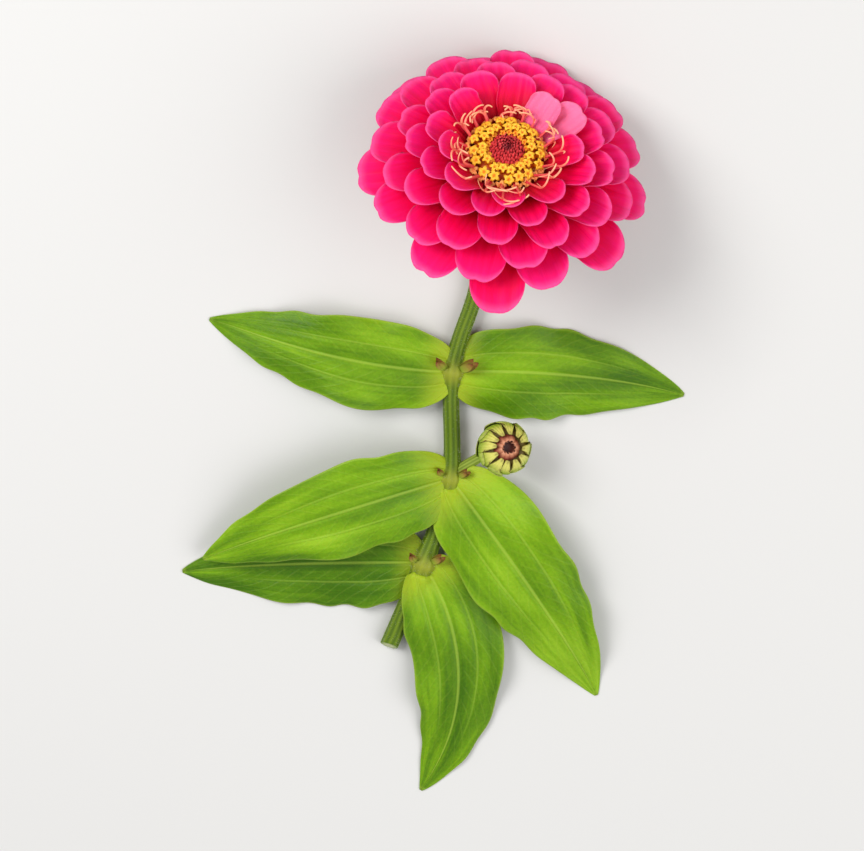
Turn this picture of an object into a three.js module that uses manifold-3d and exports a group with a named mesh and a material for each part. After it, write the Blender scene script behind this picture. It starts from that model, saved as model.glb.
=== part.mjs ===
// One cut zinnia, lying on a flat surface: a double crimson flower head on its green involucre, and a
// leafy stem with three pairs of leaves and a side bud. Millimetres, +Z up, and z = 0 is the surface.
//
// The head has a frame of its own: its origin is the middle of the involucre's rim, and its +Z is the way the
// flower faces. The bud has such a frame too. What could dip under the surface is pressed up from it, as soft
// petals and leaves are.
import * as THREE from "three";
import { mergeVertices } from "three/addons/utils/BufferGeometryUtils.js";
import Module from "manifold-3d";

const rad = THREE.MathUtils.degToRad;
const { lerp, smoothstep } = THREE.MathUtils;

// ---------------------------------------------------------------- driving dimensions
const FLOWER_RADIUS = 42.5; // axis to the tips of the outermost ray florets
const RAY_FLORETS = 60;
const BROAD_FLORETS = 18; // the outer ones, whose broad tips show most and have more facets
const CORE_RADIUS = 10; // the receptacle that the ray florets grow from
const DISC_BASE = 14.3; // the disc's underside above the involucre's rim, in the head frame
const PETAL_THICKNESS = 0.7;
const LEAF_THICKNESS = 0.8;
const BRACT_THICKNESS = 0.7;
const GAP = 0.3; // between nodes that touch on the real flower
const FLATTENED = 0.2; // how deep petals and leaves are flattened where they lie on the surface

// elevation is degrees from the surface up to the way it faces, and yaw is degrees from +Y towards +X.
const HEAD = { centre: [0, 0, 24.6], elevation: 44, yaw: 8 };
const BUD = { centre: [1.5, -84, 15.5], elevation: 66, yaw: 35, radius: 8 };

// The stem's centreline from inside the involucre down to the cut, and its radius at each point.
const STEM = [
  { at: [-1.3, -9.3, 15.6], radius: 4 },
  { at: [-2.2, -15.5, 10], radius: 3.4 },
  { at: [-3.8, -26, 5.2], radius: 2.7 },
  { at: [-7, -41, 3.4], radius: 2.3 },
  { at: [-13.5, -64, 3.3], radius: 2.4 }, // upper node
  { at: [-14, -97, 3.5], radius: 2.5 }, // middle node
  { at: [-22, -124, 3.6], radius: 2.7 }, // lower node
  { at: [-33, -152, 2.6], radius: 2.7 },
];
const NODE_POINTS = [4, 5, 6]; // which of those points carry leaves
const NODE_SWELLING = 0.8; // extra radius at a node
const NODE_SPAN = 4.5; // how far along the stem a swelling fades

// Leaves, in pairs down the stem. heading is the way a leaf sets out over the surface, in degrees anticlockwise
// from +X, and turn is how far it has swung round at its tip. start and end are heights of its midrib, and arch
// is its hump above the straight line between them. fold is how far the halves rise from the midrib, as a share
// of their width, and roll tips the whole leaf sideways.
const LEAVES = [
  {
    node: 0, heading: 174, turn: -12, length: 74, width: 27,
    start: 4.2, end: -1.5, arch: 5, fold: 0.2, roll: 4,
  },
  {
    node: 0, heading: 2, turn: -18, length: 70, width: 28,
    start: 4, end: -1.5, arch: 1.6, fold: 0.14, roll: -3,
  },
  {
    node: 1, heading: 190, turn: 18, length: 79, width: 29,
    start: 4.5, end: 4.6, arch: 8, fold: 0.2, roll: -5,
  },
  {
    node: 1, heading: -50, turn: -16, length: 84, width: 32,
    start: 4.5, end: -1.5, arch: 9.5, fold: 0.16, roll: 5,
  },
  {
    node: 2, heading: 180, turn: 6, length: 73, width: 28,
    start: 3.4, end: -1.5, arch: 0.6, fold: 0.1, roll: 2,
  },
  {
    node: 2, heading: -58, turn: -66, length: 79, width: 28,
    start: 4.4, end: -1.5, arch: 3.5, fold: 0.14, roll: -3,
  },
];

// ---------------------------------------------------------------- small maths
const GOLDEN_ANGLE = Math.PI * (3 - Math.sqrt(5));

// A repeatable draw from -1 to 1 for item i of a series, whose number isn't a perfect square.
function draw(i, series) {
  const turns = (i + 1) * Math.sqrt(series);
  return 2 * (turns - Math.floor(turns)) - 1;
}

// A height pressed up from the surface: unchanged well above it, and never under lowest.
function press(z, lowest) {
  const softness = 0.5;
  return lowest + softness * Math.log1p(Math.exp((z - lowest) / softness));
}

// The matrix of a head's or bud's own frame.
function frameOf({ centre, elevation, yaw }) {
  const tilt = new THREE.Matrix4().makeRotationX(-rad(90 - elevation));
  const swing = new THREE.Matrix4().makeRotationZ(-rad(yaw));
  return new THREE.Matrix4().makeTranslation(...centre).multiply(swing).multiply(tilt);
}

const headFrame = frameOf(HEAD);
const budFrame = frameOf(BUD);

// ---------------------------------------------------------------- solids
const wasm = await Module();
wasm.setup();

function solidOf(geometry) {
  const bare = geometry.clone();
  Object.keys(bare.attributes)
    .filter((name) => name !== "position")
    .forEach((name) => bare.deleteAttribute(name));
  const merged = mergeVertices(bare, 1e-4);
  return new wasm.Manifold(
    new wasm.Mesh({
      numProp: 3,
      vertProperties: merged.attributes.position.array,
      triVerts: new Uint32Array(merged.index.array),
    }),
  );
}

function geometryOf(solid) {
  const mesh = solid.getMesh();
  return new THREE.BufferGeometry()
    .setAttribute("position", new THREE.BufferAttribute(new Float32Array(mesh.vertProperties), 3))
    .setIndex(new THREE.BufferAttribute(new Uint32Array(mesh.triVerts), 1));
}

const surfaceSlab = solidOf(new THREE.BoxGeometry(600, 600, 40).translate(0, 0, -20));

// Geometries as one body above the surface, with no sealed void and no loose scrap.
function fused(geometries) {
  const whole = geometries.map(solidOf).reduce((sum, solid) => sum.add(solid)).subtract(surfaceSlab);
  return whole.decompose().reduce((most, body) => (body.volume() > most.volume() ? body : most));
}

function geometryFrom(points, faces) {
  return new THREE.BufferGeometry()
    .setAttribute("position", new THREE.Float32BufferAttribute(points.flatMap((p) => p.toArray()), 3))
    .setIndex(faces.flat());
}

// A closed thin blade round a middle surface. surface(u, v) gives its points, with u from -1 to 1 across and
// v from 0 to 1 along. Both faces are split into triangles alike.
function blade(surface, across, along, thickness) {
  const middle = [];
  for (let j = 0; j <= along; j++) {
    for (let i = 0; i <= across; i++) middle.push(surface((2 * i) / across - 1, j / along));
  }
  const id = (i, j) => j * (across + 1) + i;
  const within = (value, most) => Math.min(Math.max(value, 0), most);
  const normals = middle.map((_, k) => {
    const i = k % (across + 1);
    const j = (k - i) / (across + 1);
    const near = (di, dj) => middle[id(within(i + di, across), within(j + dj, along))];
    const sideways = near(1, 0).clone().sub(near(-1, 0));
    const onwards = near(0, 1).clone().sub(near(0, -1));
    return sideways.cross(onwards).normalize();
  });
  const shifted = (share) => middle.map((p, k) => p.clone().addScaledVector(normals[k], share * thickness));
  const points = [...shifted(0.5), ...shifted(-0.5)];
  const under = middle.length;
  const faces = [];
  for (let j = 0; j < along; j++) {
    for (let i = 0; i < across; i++) {
      const [a, b, c, d] = [id(i, j), id(i + 1, j), id(i + 1, j + 1), id(i, j + 1)];
      const halves = 2 * i < across ? [[a, b, c], [a, c, d]] : [[a, b, d], [b, c, d]];
      halves.forEach(([p, q, r]) => faces.push([p, q, r], [under + p, under + r, under + q]));
    }
  }
  const rim = [];
  for (let i = 0; i < across; i++) rim.push(id(i, 0));
  for (let j = 0; j < along; j++) rim.push(id(across, j));
  for (let i = across; i > 0; i--) rim.push(id(i, along));
  for (let j = along; j > 0; j--) rim.push(id(0, j));
  rim.forEach((p, k) => {
    const q = rim[(k + 1) % rim.length];
    faces.push([p, under + p, under + q], [p, under + q, q]);
  });
  return geometryFrom(points, faces);
}

// A closed skin through rings of equally many points, with an end from each outer ring to a middle point.
function loft(rings, { bottom, top } = {}) {
  const sides = rings[0].length;
  const points = rings.flat();
  const centreOf = (ring) => ring.reduce((sum, p) => sum.add(p), new THREE.Vector3()).divideScalar(sides);
  const [low, high] = [points.length, points.length + 1];
  points.push(bottom ?? centreOf(rings[0]), top ?? centreOf(rings[rings.length - 1]));
  const last = (rings.length - 1) * sides;
  const faces = [];
  for (let s = 0; s < sides; s++) {
    const next = (s + 1) % sides;
    for (let start = 0; start < last; start += sides) {
      const [a, b] = [start + s, start + next];
      faces.push([a, b, b + sides], [a, b + sides, a + sides]);
    }
    faces.push([low, next, s], [high, last + s, last + next]);
  }
  return geometryFrom(points, faces);
}

// A closed tube along a curve, with radiusAt(share of its length).
function tube(curve, radiusAt, steps, sides) {
  const { normals, binormals } = curve.computeFrenetFrames(steps, false);
  const rings = normals.map((normal, k) => {
    const centre = curve.getPointAt(k / steps);
    const radius = radiusAt(k / steps);
    return Array.from({ length: sides }, (_, s) => {
      const angle = (2 * Math.PI * s) / sides;
      return centre
        .clone()
        .addScaledVector(normal, radius * Math.cos(angle))
        .addScaledVector(binormals[k], radius * Math.sin(angle));
    });
  });
  return loft(rings);
}

// A solid of revolution about +Z through [radius, height] pairs that start and end on the axis, going up.
function turned(profile, sides) {
  const outline = profile.map(([r, z]) => new THREE.Vector2(r, z));
  return new THREE.LatheGeometry(outline, sides).rotateX(Math.PI / 2);
}

// ---------------------------------------------------------------- ray florets
// Middle surface of ray floret k in the head frame. 0 is the outermost and lowest, and each next one is a
// golden angle further round, shorter, narrower, steeper and rooted higher on the receptacle.
function rayFloret(k) {
  const inward = k / (RAY_FLORETS - 1);
  const azimuth = k * GOLDEN_ANGLE + rad(3) * draw(k, 2);
  const root = { radius: 7.5, height: lerp(2.4, 11.4, inward) };
  const startSlope = rad(lerp(12, 55, inward) + 2 * draw(k, 3));
  const endSlope = rad(lerp(-30, 18, inward) + 5 * draw(k, 6));
  const length = lerp(FLOWER_RADIUS - 6.8, 17, inward ** 1.15) * (1 + 0.03 * draw(k, 7));
  const halfWidth = 0.5 * lerp(16.5, 10, inward) * (1 + 0.05 * draw(k, 10));
  const cup = lerp(0.1, 0.42, inward) + 0.05 * draw(k, 11);
  const roll = Math.sin(rad(4) * draw(k, 13));
  const clawWidth = 0.3; // of the petal's full width
  const tipDepth = 0.24; // how far the rounded tip's shoulders fall behind it, of the petal's length

  return (i, v) => {
    const u = Math.sin((Math.PI / 2) * i);
    const along = v - tipDepth * (1 - Math.sqrt(1 - u * u)) * v ** 3;
    const slope = lerp(startSlope, endSlope, along);
    const bend = endSlope - startSlope;
    const out = root.radius + (length * (Math.sin(slope) - Math.sin(startSlope))) / bend;
    const up = root.height - (length * (Math.cos(slope) - Math.cos(startSlope))) / bend;
    const across = halfWidth * u * lerp(clawWidth, 1, smoothstep(v, 0, 0.65));
    const lift = cup * u * across * smoothstep(v, 0.15, 0.85) + roll * across;
    const radius = out - Math.sin(slope) * lift;
    return new THREE.Vector3(
      radius * Math.cos(azimuth) - across * Math.sin(azimuth),
      radius * Math.sin(azimuth) + across * Math.cos(azimuth),
      up + Math.cos(slope) * lift,
    );
  };
}

function rayFlorets() {
  const top = DISC_BASE - GAP;
  const profile = [[0, GAP], [9.2, GAP], [CORE_RADIUS, 3], [CORE_RADIUS, 8], [9.4, 12], [8.4, top], [0, top]];
  const lowest = PETAL_THICKNESS / 2 - FLATTENED;
  const florets = Array.from({ length: RAY_FLORETS }, (_, k) => {
    const floret = rayFloret(k);
    const laid = (i, v) => {
      const p = floret(i, v).applyMatrix4(headFrame);
      return p.setZ(press(p.z, lowest));
    };
    return blade(laid, k < BROAD_FLORETS ? 6 : 4, 3, PETAL_THICKNESS);
  });
  return fused([turned(profile, 20).applyMatrix4(headFrame), ...florets]);
}

// ---------------------------------------------------------------- disc
// A floret standing on the origin: a tube that widens into a star of five lobes.
function starFloret(height, reach) {
  const points = 10;
  const ring = (z, radiusOf) =>
    Array.from({ length: points }, (_, i) => {
      const angle = (2 * Math.PI * i) / points;
      return new THREE.Vector3(radiusOf(i) * Math.cos(angle), radiusOf(i) * Math.sin(angle), z);
    });
  const rings = [ring(0, () => 0.6), ring(height, (i) => (i % 2 ? 0.5 * reach : reach))];
  return loft(rings, { top: new THREE.Vector3(0, 0, height - 0.5) });
}

// Sets a shape that stands on the origin at a place on the disc, leaning outwards.
function onDisc(geometry, { radius, angle, height, lean }) {
  return geometry.rotateY(lean).translate(radius, 0, height).rotateZ(angle);
}

function discFlorets() {
  const base = DISC_BASE;
  const collar = turned([[6.2, base], [9, base], [8.6, base + 1.8], [6.7, base + 2.4], [6.2, base]], 20);
  const rows = [
    { count: 15, radius: 8.1, height: base + 0.8, lean: 34, length: 4, reach: 1.9 },
    { count: 9, radius: 7, height: base + 1.5, lean: 6, length: 4.2, reach: 1.8 },
  ];
  const florets = rows.flatMap((row, r) =>
    Array.from({ length: row.count }, (_, i) =>
      onDisc(starFloret(row.length * (1 + 0.08 * draw(i, 21 + r)), row.reach), {
        radius: row.radius,
        height: row.height,
        angle: (2 * Math.PI * (i + 0.5 * r)) / row.count + rad(4) * draw(i, 31 + r),
        lean: rad(row.lean + 7 * draw(i, 41 + r)),
      }),
    ),
  );
  return fused([collar, ...florets].map((geometry) => geometry.applyMatrix4(headFrame)));
}

// The dome of unopened florets, with the pointed scales that stand between them.
function discCentre() {
  const radius = 5.6;
  const height = 4.2;
  const scales = 42;
  const base = DISC_BASE;
  const dome = [[0, 0], [radius, 0], [radius, 1.6], [4.6, 3.1], [2.4, height], [0, height]];
  const profile = dome.map(([r, z]) => [r, base + z]);
  const tips = Array.from({ length: scales }, (_, i) => {
    const share = Math.sqrt((i + 0.5) / scales);
    return onDisc(new THREE.ConeGeometry(0.75, 2.6, 3).rotateX(Math.PI / 2), {
      radius: (radius - 0.5) * share,
      height: base + height * (1 - 0.5 * share ** 3) + 0.3,
      angle: i * GOLDEN_ANGLE,
      lean: -rad(20) * share,
    });
  });
  return fused([turned(profile, 18), ...tips].map((geometry) => geometry.applyMatrix4(headFrame)));
}

// ---------------------------------------------------------------- involucre and bud
// Rows of overlapping bracts round an axis. Each is rooted in the body that radiusAt(height) describes, and
// stands a little off it towards its tip.
function bracts(rows, radiusAt, { length, width }) {
  return rows.flatMap(({ count, height, share }, row) =>
    Array.from({ length: count }, (_, i) => {
      const azimuth = (2 * Math.PI * (i + 0.5 * (row % 2))) / count + rad(4) * draw(i, 53 + row);
      const surface = (u, v) => {
        const z = height + length * share * (v - 0.2 * u * u * v);
        const halfWidth = 0.5 * width * share * lerp(0.8, 1, smoothstep(v, 0, 0.5)) * (1 - 0.3 * v ** 3);
        const radius = radiusAt(z) + lerp(-0.6, 1, Math.sqrt(v)) - 0.1 * u * u;
        const angle = azimuth + (halfWidth * u) / radius;
        return new THREE.Vector3(radius * Math.cos(angle), radius * Math.sin(angle), z);
      };
      return blade(surface, 2, 2, BRACT_THICKNESS);
    }),
  );
}

function involucre() {
  const profile = [[0, -16], [3.7, -16], [6.4, -13.2], [8.8, -9], [9.9, -5], [10, -1.5], [9.3, 0], [0, 0]];
  const radiusAt = (z) => 10 - 6.3 * smoothstep(-z, 3, 18);
  const rows = [
    { count: 7, height: -15, share: 0.8 },
    { count: 8, height: -11.8, share: 0.95 },
    { count: 8, height: -7.8, share: 1.05 },
  ];
  const scales = bracts(rows, radiusAt, { length: 7.4, width: 6.8 });
  return [turned(profile, 14), ...scales].map((geometry) => geometry.applyMatrix4(headFrame));
}

function budCup() {
  const r = BUD.radius;
  const profile = [
    [0, -r], [2.4, -r], [0.66 * r, -0.72 * r], [0.9 * r, -0.3 * r], [0.93 * r, 0.1 * r], [0.8 * r, 0.5 * r],
    [0.6 * r, 0.72 * r], [0.52 * r, 0.72 * r], [0.5 * r, 0.4 * r], [0, 0.4 * r],
  ];
  const radiusAt = (z) => 0.93 * Math.sqrt(Math.max(r * r - z * z, 0.2 * r * r));
  const rows = [
    { count: 5, height: -0.78 * r, share: 0.9 },
    { count: 7, height: -0.42 * r, share: 1.05 },
    { count: 8, height: 0.12 * r, share: 0.95 },
  ];
  const scales = bracts(rows, radiusAt, { length: 6.6, width: 5.6 });
  return [turned(profile, 12), ...scales].map((geometry) => geometry.applyMatrix4(budFrame));
}

// The tips of the bud's folded ray florets, in the mouth of its bracts.
function budFlorets() {
  const base = 0.4 * BUD.radius + GAP;
  const mouth = [[0, 0], [3.5, 0], [3.6, 1.8], [3, 2.6], [1.6, 1.4], [0, 1.2]];
  const plug = turned(mouth.map(([r, z]) => [r, base + z]), 12);
  const tips = Array.from({ length: 10 }, (_, i) =>
    onDisc(new THREE.ConeGeometry(0.9, 2.6, 5).rotateX(Math.PI / 2), {
      radius: 2.5,
      height: base + 2.7,
      angle: (2 * Math.PI * i) / 10,
      lean: -rad(18),
    }),
  );
  return fused([plug, ...tips].map((geometry) => geometry.applyMatrix4(budFrame)));
}

// ---------------------------------------------------------------- stem
const vectorOf = (point) => new THREE.Vector3(...STEM[point].at);
const stemPoints = STEM.map((_, point) => vectorOf(point));
const stemCurve = new THREE.CatmullRomCurve3(stemPoints, false, "catmullrom", 0.5);

// Radius of the stem at a share of its length: the radii of STEM joined up, with a swelling at each node.
function stemRadius(share) {
  const here = stemCurve.getPointAt(share);
  const parameter = stemCurve.getUtoTmapping(share) * (STEM.length - 1);
  const k = Math.min(Math.floor(parameter), STEM.length - 2);
  const swellings = NODE_POINTS.map((point) => {
    const away = here.distanceTo(vectorOf(point)) / NODE_SPAN;
    return NODE_SWELLING * Math.exp(-away * away);
  });
  return lerp(STEM[k].radius, STEM[k + 1].radius, parameter - k) + Math.max(...swellings);
}

function budStalk() {
  const node = vectorOf(NODE_POINTS[1]);
  const top = new THREE.Vector3(0, 0, 1 - BUD.radius).applyMatrix4(budFrame);
  const below = new THREE.Vector3(0, 0, -BUD.radius - 2.5).applyMatrix4(budFrame);
  const aside = node.clone().add(new THREE.Vector3(3.4, 3.4, 1));
  const curve = new THREE.CatmullRomCurve3([node, aside, below, top]);
  return tube(curve, (share) => lerp(1.4, 2, share * share), 8, 8);
}

// ---------------------------------------------------------------- leaves
// Half width of a leaf at a share of its length, 1 where it is widest.
function leafOutline(share) {
  return ((share + 0.02) ** 0.42 * (1 - share) ** 0.85) / 0.457;
}

// Middle surface of leaf number index. Its midrib is a circular arc in plan.
function leafSurface({ node, heading, turn, length, width, start, end, arch, fold, roll }, index) {
  const base = vectorOf(NODE_POINTS[node]);
  const waves = 2.4;
  const waveHeight = 0.1; // of the half width
  const phase = 2.4 * index;
  return (u, v) => {
    const share = 0.992 * v;
    const half = rad(turn * share) / 2;
    const chord = length * share * (half ? Math.sin(half) / half : 1);
    const ahead = rad(heading) + half;
    const facing = ahead + half;
    const side = 0.5 * width * leafOutline(share) * u;
    const reach = Math.abs(side);
    const bow = arch * Math.sin(Math.PI * share ** 0.85);
    const gull = reach * (fold * (1 - 0.4 * share) - 0.3 * fold - 0.12 * Math.abs(u));
    const swing = 2 * Math.PI * waves * share + phase + (u > 0 ? 1.7 : 0);
    const wave = waveHeight * reach * Math.abs(u) * Math.sin(swing);
    const z = lerp(start, end, share) + bow + gull + wave + side * Math.sin(rad(roll));
    return new THREE.Vector3(
      base.x + chord * Math.cos(ahead) - side * Math.sin(facing),
      base.y + chord * Math.sin(ahead) + side * Math.cos(facing),
      press(z, LEAF_THICKNESS / 2 - FLATTENED),
    );
  };
}

// ---------------------------------------------------------------- assembly
function leafyStem() {
  return fused([
    tube(stemCurve, stemRadius, 32, 8),
    ...involucre(),
    budStalk(),
    ...budCup(),
    ...LEAVES.map((dimensions, index) => blade(leafSurface(dimensions, index), 4, 12, LEAF_THICKNESS)),
  ]);
}

function part(name, solid, color, roughness) {
  const material = new THREE.MeshStandardMaterial({ color, roughness, metalness: 0 });
  const mesh = new THREE.Mesh(geometryOf(solid), material);
  mesh.name = name;
  return mesh;
}

// Moves the flower so that its bounding box is centred over the origin.
const PLACE = [19.52, 82.46, 0];

const zinnia = new THREE.Group();
zinnia.position.set(...PLACE);
zinnia.add(
  part("leafy_stem", leafyStem(), 0x6f9f2a, 0.55),
  part("ray_florets", rayFlorets(), 0xe8104f, 0.6),
  part("disc_florets", discFlorets(), 0xf7b21c, 0.65),
  part("disc_centre", discCentre(), 0xa51c33, 0.7),
  part("bud_florets", budFlorets(), 0x7c1f2b, 0.7),
);

export default zinnia;
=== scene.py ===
"""One cut zinnia lying on a pale surface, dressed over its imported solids.

Lengths are millimetres until a mesh is finished, and metres from then on. The head and the bud each have a
frame of their own: its origin is the middle of the involucre's rim, or of the bud, and its +Z is the way it
faces. In the formulas u is how far across a petal, leaf or bract a point is, from -1 to 1, v is how far along
it, from 0 to 1, and k is the number of the copy that it belongs to.
"""

import logging
import math
from dataclasses import asdict, dataclass
from enum import Enum, IntEnum
from functools import cache
from typing import Callable, Sequence

import bpy
from mathutils import Matrix, Vector


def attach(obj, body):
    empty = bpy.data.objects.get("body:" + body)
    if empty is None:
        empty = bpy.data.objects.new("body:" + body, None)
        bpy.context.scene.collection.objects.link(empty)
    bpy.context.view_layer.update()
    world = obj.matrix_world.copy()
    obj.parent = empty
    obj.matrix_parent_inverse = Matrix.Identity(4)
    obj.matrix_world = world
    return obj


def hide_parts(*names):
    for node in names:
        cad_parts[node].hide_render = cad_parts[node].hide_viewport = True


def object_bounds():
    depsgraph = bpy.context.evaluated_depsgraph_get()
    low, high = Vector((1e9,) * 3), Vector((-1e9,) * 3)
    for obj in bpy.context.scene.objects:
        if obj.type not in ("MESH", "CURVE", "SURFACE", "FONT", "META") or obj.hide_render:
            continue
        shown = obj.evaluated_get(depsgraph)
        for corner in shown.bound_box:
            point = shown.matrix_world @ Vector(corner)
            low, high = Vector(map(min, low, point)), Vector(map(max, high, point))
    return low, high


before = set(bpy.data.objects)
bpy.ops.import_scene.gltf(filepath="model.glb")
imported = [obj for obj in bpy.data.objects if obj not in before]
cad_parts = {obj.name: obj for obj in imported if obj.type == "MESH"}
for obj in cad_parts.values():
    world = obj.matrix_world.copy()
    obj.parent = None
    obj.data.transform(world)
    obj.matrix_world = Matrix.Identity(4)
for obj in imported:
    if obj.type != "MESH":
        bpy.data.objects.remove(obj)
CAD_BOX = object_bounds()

logging.basicConfig(level=logging.INFO, format="%(message)s")
log = logging.getLogger("zinnia")

MM = 0.001
PLACE = Vector((19.52, 82.46, 0.0))
UP = Vector((0.0, 0.0, 1.0))
FULL_TURN = 2 * math.pi
DEGREE = math.radians(1)
GOLDEN_ANGLE = math.pi * (3 - math.sqrt(5))
FLATTENED = 0.2
PETAL_THICKNESS = 0.7
LEAF_THICKNESS = 0.8
PRESS_SOFTNESS = 0.5
LATERAL_VEIN = 0.43
ON_AXIS = 0.0001
STRAIGHT = 0.00001

Colour = tuple[float, float, float]
Stops = tuple[tuple[float, Colour], ...]
Pair = tuple[float, float]
Triple = tuple[float, float, float]
Profile = tuple[Pair, ...]


class Slot(Enum):
    """The record's material slots."""

    GREEN = "green"
    CRIMSON = "crimson"
    YELLOW = "yellow"
    MAROON = "maroon"


class Solid(Enum):
    """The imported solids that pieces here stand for."""

    LEAFY_STEM = "leafy_stem"
    RAY_FLORETS = "ray_florets"
    DISC_FLORETS = "disc_florets"
    DISC_CENTRE = "disc_centre"
    BUD_FLORETS = "bud_florets"


SLOTS = {
    Solid.LEAFY_STEM: Slot.GREEN,
    Solid.RAY_FLORETS: Slot.CRIMSON,
    Solid.DISC_FLORETS: Slot.YELLOW,
    Solid.DISC_CENTRE: Slot.MAROON,
    Solid.BUD_FLORETS: Slot.MAROON,
}


# ---------------------------------------------------------------- node building
class Value:
    """A number in a node tree that may vary over a geometry or a surface, with ordinary arithmetic."""

    def __init__(self, nodes: "Nodes", socket: bpy.types.NodeSocket) -> None:
        """The number that a node's output gives."""
        self.nodes = nodes
        self.socket = socket

    def __add__(self, other: "Number") -> "Value":
        """This plus other."""
        return self.nodes.math("ADD", self, other)

    def __sub__(self, other: "Number") -> "Value":
        """This minus other."""
        return self.nodes.math("SUBTRACT", self, other)

    def __rsub__(self, other: "Number") -> "Value":
        """Other minus this."""
        return self.nodes.math("SUBTRACT", other, self)

    def __mul__(self, other: "Number") -> "Value":
        """This times other."""
        return self.nodes.math("MULTIPLY", self, other)

    def __truediv__(self, other: "Number") -> "Value":
        """This divided by other."""
        return self.nodes.math("DIVIDE", self, other)

    def __rtruediv__(self, other: "Number") -> "Value":
        """Other divided by this."""
        return self.nodes.math("DIVIDE", other, self)

    def __pow__(self, other: "Number") -> "Value":
        """This raised to other, which is a whole number where this may be negative."""
        return self.nodes.math("POWER", self, other)

    def __neg__(self) -> "Value":
        """This with its sign turned."""
        return self.nodes.math("MULTIPLY", self, -1.0)

    __radd__ = __add__
    __rmul__ = __mul__


Number = Value | float | int
Place = tuple[Value, Value, Value]


def sin(x: Value) -> Value:
    """Sine of an angle in radians."""
    return x.nodes.math("SINE", x)


def cos(x: Value) -> Value:
    """Cosine of an angle in radians."""
    return x.nodes.math("COSINE", x)


def size_of(x: Value) -> Value:
    """x without its sign."""
    return x.nodes.math("ABSOLUTE", x)


def larger(a: Value, b: Number) -> Value:
    """The larger of two numbers."""
    return a.nodes.math("MAXIMUM", a, b)


def same(a: Value, number: float) -> Value:
    """1 where a is a whole number, and 0 elsewhere."""
    return a.nodes.math("LESS_THAN", size_of(a - number), 0.5)


def lerp(a: Number, b: Number, share: Value) -> Value:
    """The number that lies a share of the way from a to b."""
    return (b - a) * share + a


def rounded(u: Value) -> Value:
    """How far a round end falls back at u: 0 in the middle, and 1 at the edges."""
    return 1 - larger(1 - u * u, 0.0) ** 0.5


def spread(u: Value) -> Value:
    """u, with its points closer together towards the edges."""
    return sin(u * (math.pi / 2))


def thinned(u: Value, edge: float, power: int = 4) -> Value:
    """Share of the full thickness that a blade has at u.

    Args:
        u: How far across it a point is.
        edge: The share at its edges.
        power: How far out the thickness holds before it falls.

    Returns:
        The share, which is 1 in the middle.
    """
    return larger(1 - u**power, 0.0) ** 0.5 * (1 - edge) + edge


def smoothstep(x: Value, low: Number, high: Number, from_: Number = 0.0, to: Number = 1.0) -> Value:
    """Goes smoothly from from_ to to, while x goes from low to high.

    Args:
        x: The number that drives it.
        low: Where it starts to change.
        high: Where it stops.
        from_: Its value below low.
        to: Its value above high.

    Returns:
        The smoothed number.
    """
    node = x.nodes.add("ShaderNodeMapRange", interpolation_type="SMOOTHSTEP")
    x.nodes.fill(node, x, low, high, from_, to)
    return Value(x.nodes, node.outputs[0])


def draw(item: Value, series: Number) -> Value:
    """A repeatable draw from -1 to 1.

    Args:
        item: The number of the item that the draw is for.
        series: A number that tells one kind of draw from another. With a perfect square, every item draws -1.

    Returns:
        The draw.
    """
    root = series**0.5
    return item.nodes.math("FRACT", (item + 1) * root) * 2 - 1


def press(z: Value, lowest: Number) -> Value:
    """Presses a height up from what is under it.

    Args:
        z: The height.
        lowest: The height of what is under it.

    Returns:
        The height, which is unchanged well above lowest, and never under it.
    """
    over = (z - lowest) / PRESS_SOFTNESS
    tail = z.nodes.math("EXPONENT", -size_of(over)) + 1
    return (larger(over, 0.0) + z.nodes.math("LOGARITHM", tail, math.e)) * PRESS_SOFTNESS + lowest


class Nodes:
    """A node tree under construction, for geometry or for a material."""

    def __init__(self, tree: bpy.types.NodeTree) -> None:
        """Starts on a tree."""
        self.tree = tree

    def add(self, kind: str, **settings: object) -> bpy.types.Node:
        """A new node with some of its own settings.

        Args:
            kind: Blender's name for the type of node.
            settings: Attributes of the node to set.

        Returns:
            The node.
        """
        node = self.tree.nodes.new(kind)
        for name, value in settings.items():
            setattr(node, name, value)
        return node

    def connect(self, value: object, socket: bpy.types.NodeSocket) -> None:
        """Feeds a node's input.

        Args:
            value: A Value, a socket, a colour or a plain setting.
            socket: The input.
        """
        if isinstance(value, Value):
            self.tree.links.new(value.socket, socket)
        elif isinstance(value, bpy.types.NodeSocket):
            self.tree.links.new(value, socket)
        elif socket.type == "RGBA":
            socket.default_value = (*value, 1)
        else:
            socket.default_value = value

    def fill(self, node: bpy.types.Node, *values: object) -> bpy.types.Node:
        """Feeds a node's first inputs.

        Args:
            node: The node.
            values: What to feed them, in their order.

        Returns:
            The node.
        """
        for socket, value in zip(node.inputs, values):
            self.connect(value, socket)
        return node

    def feed(self, node: bpy.types.Node, values: dict[str, object]) -> bpy.types.Node:
        """Feeds a node's inputs by name.

        Args:
            node: The node.
            values: What to feed them, under their names.

        Returns:
            The node.
        """
        for name, value in values.items():
            self.connect(value, node.inputs[name])
        return node

    def math(self, operation: str, *values: Number) -> Value:
        """The result of one Math node."""
        return Value(self, self.fill(self.add("ShaderNodeMath", operation=operation), *values).outputs[0])

    def vector(self, x: Number, y: Number, z: Number) -> bpy.types.NodeSocket:
        """Three numbers as a vector."""
        return self.fill(self.add("ShaderNodeCombineXYZ"), x, y, z).outputs[0]

    def split(self, vector: bpy.types.NodeSocket) -> Place:
        """A vector as three numbers."""
        outputs = self.fill(self.add("ShaderNodeSeparateXYZ"), vector).outputs
        return Value(self, outputs[0]), Value(self, outputs[1]), Value(self, outputs[2])


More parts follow.
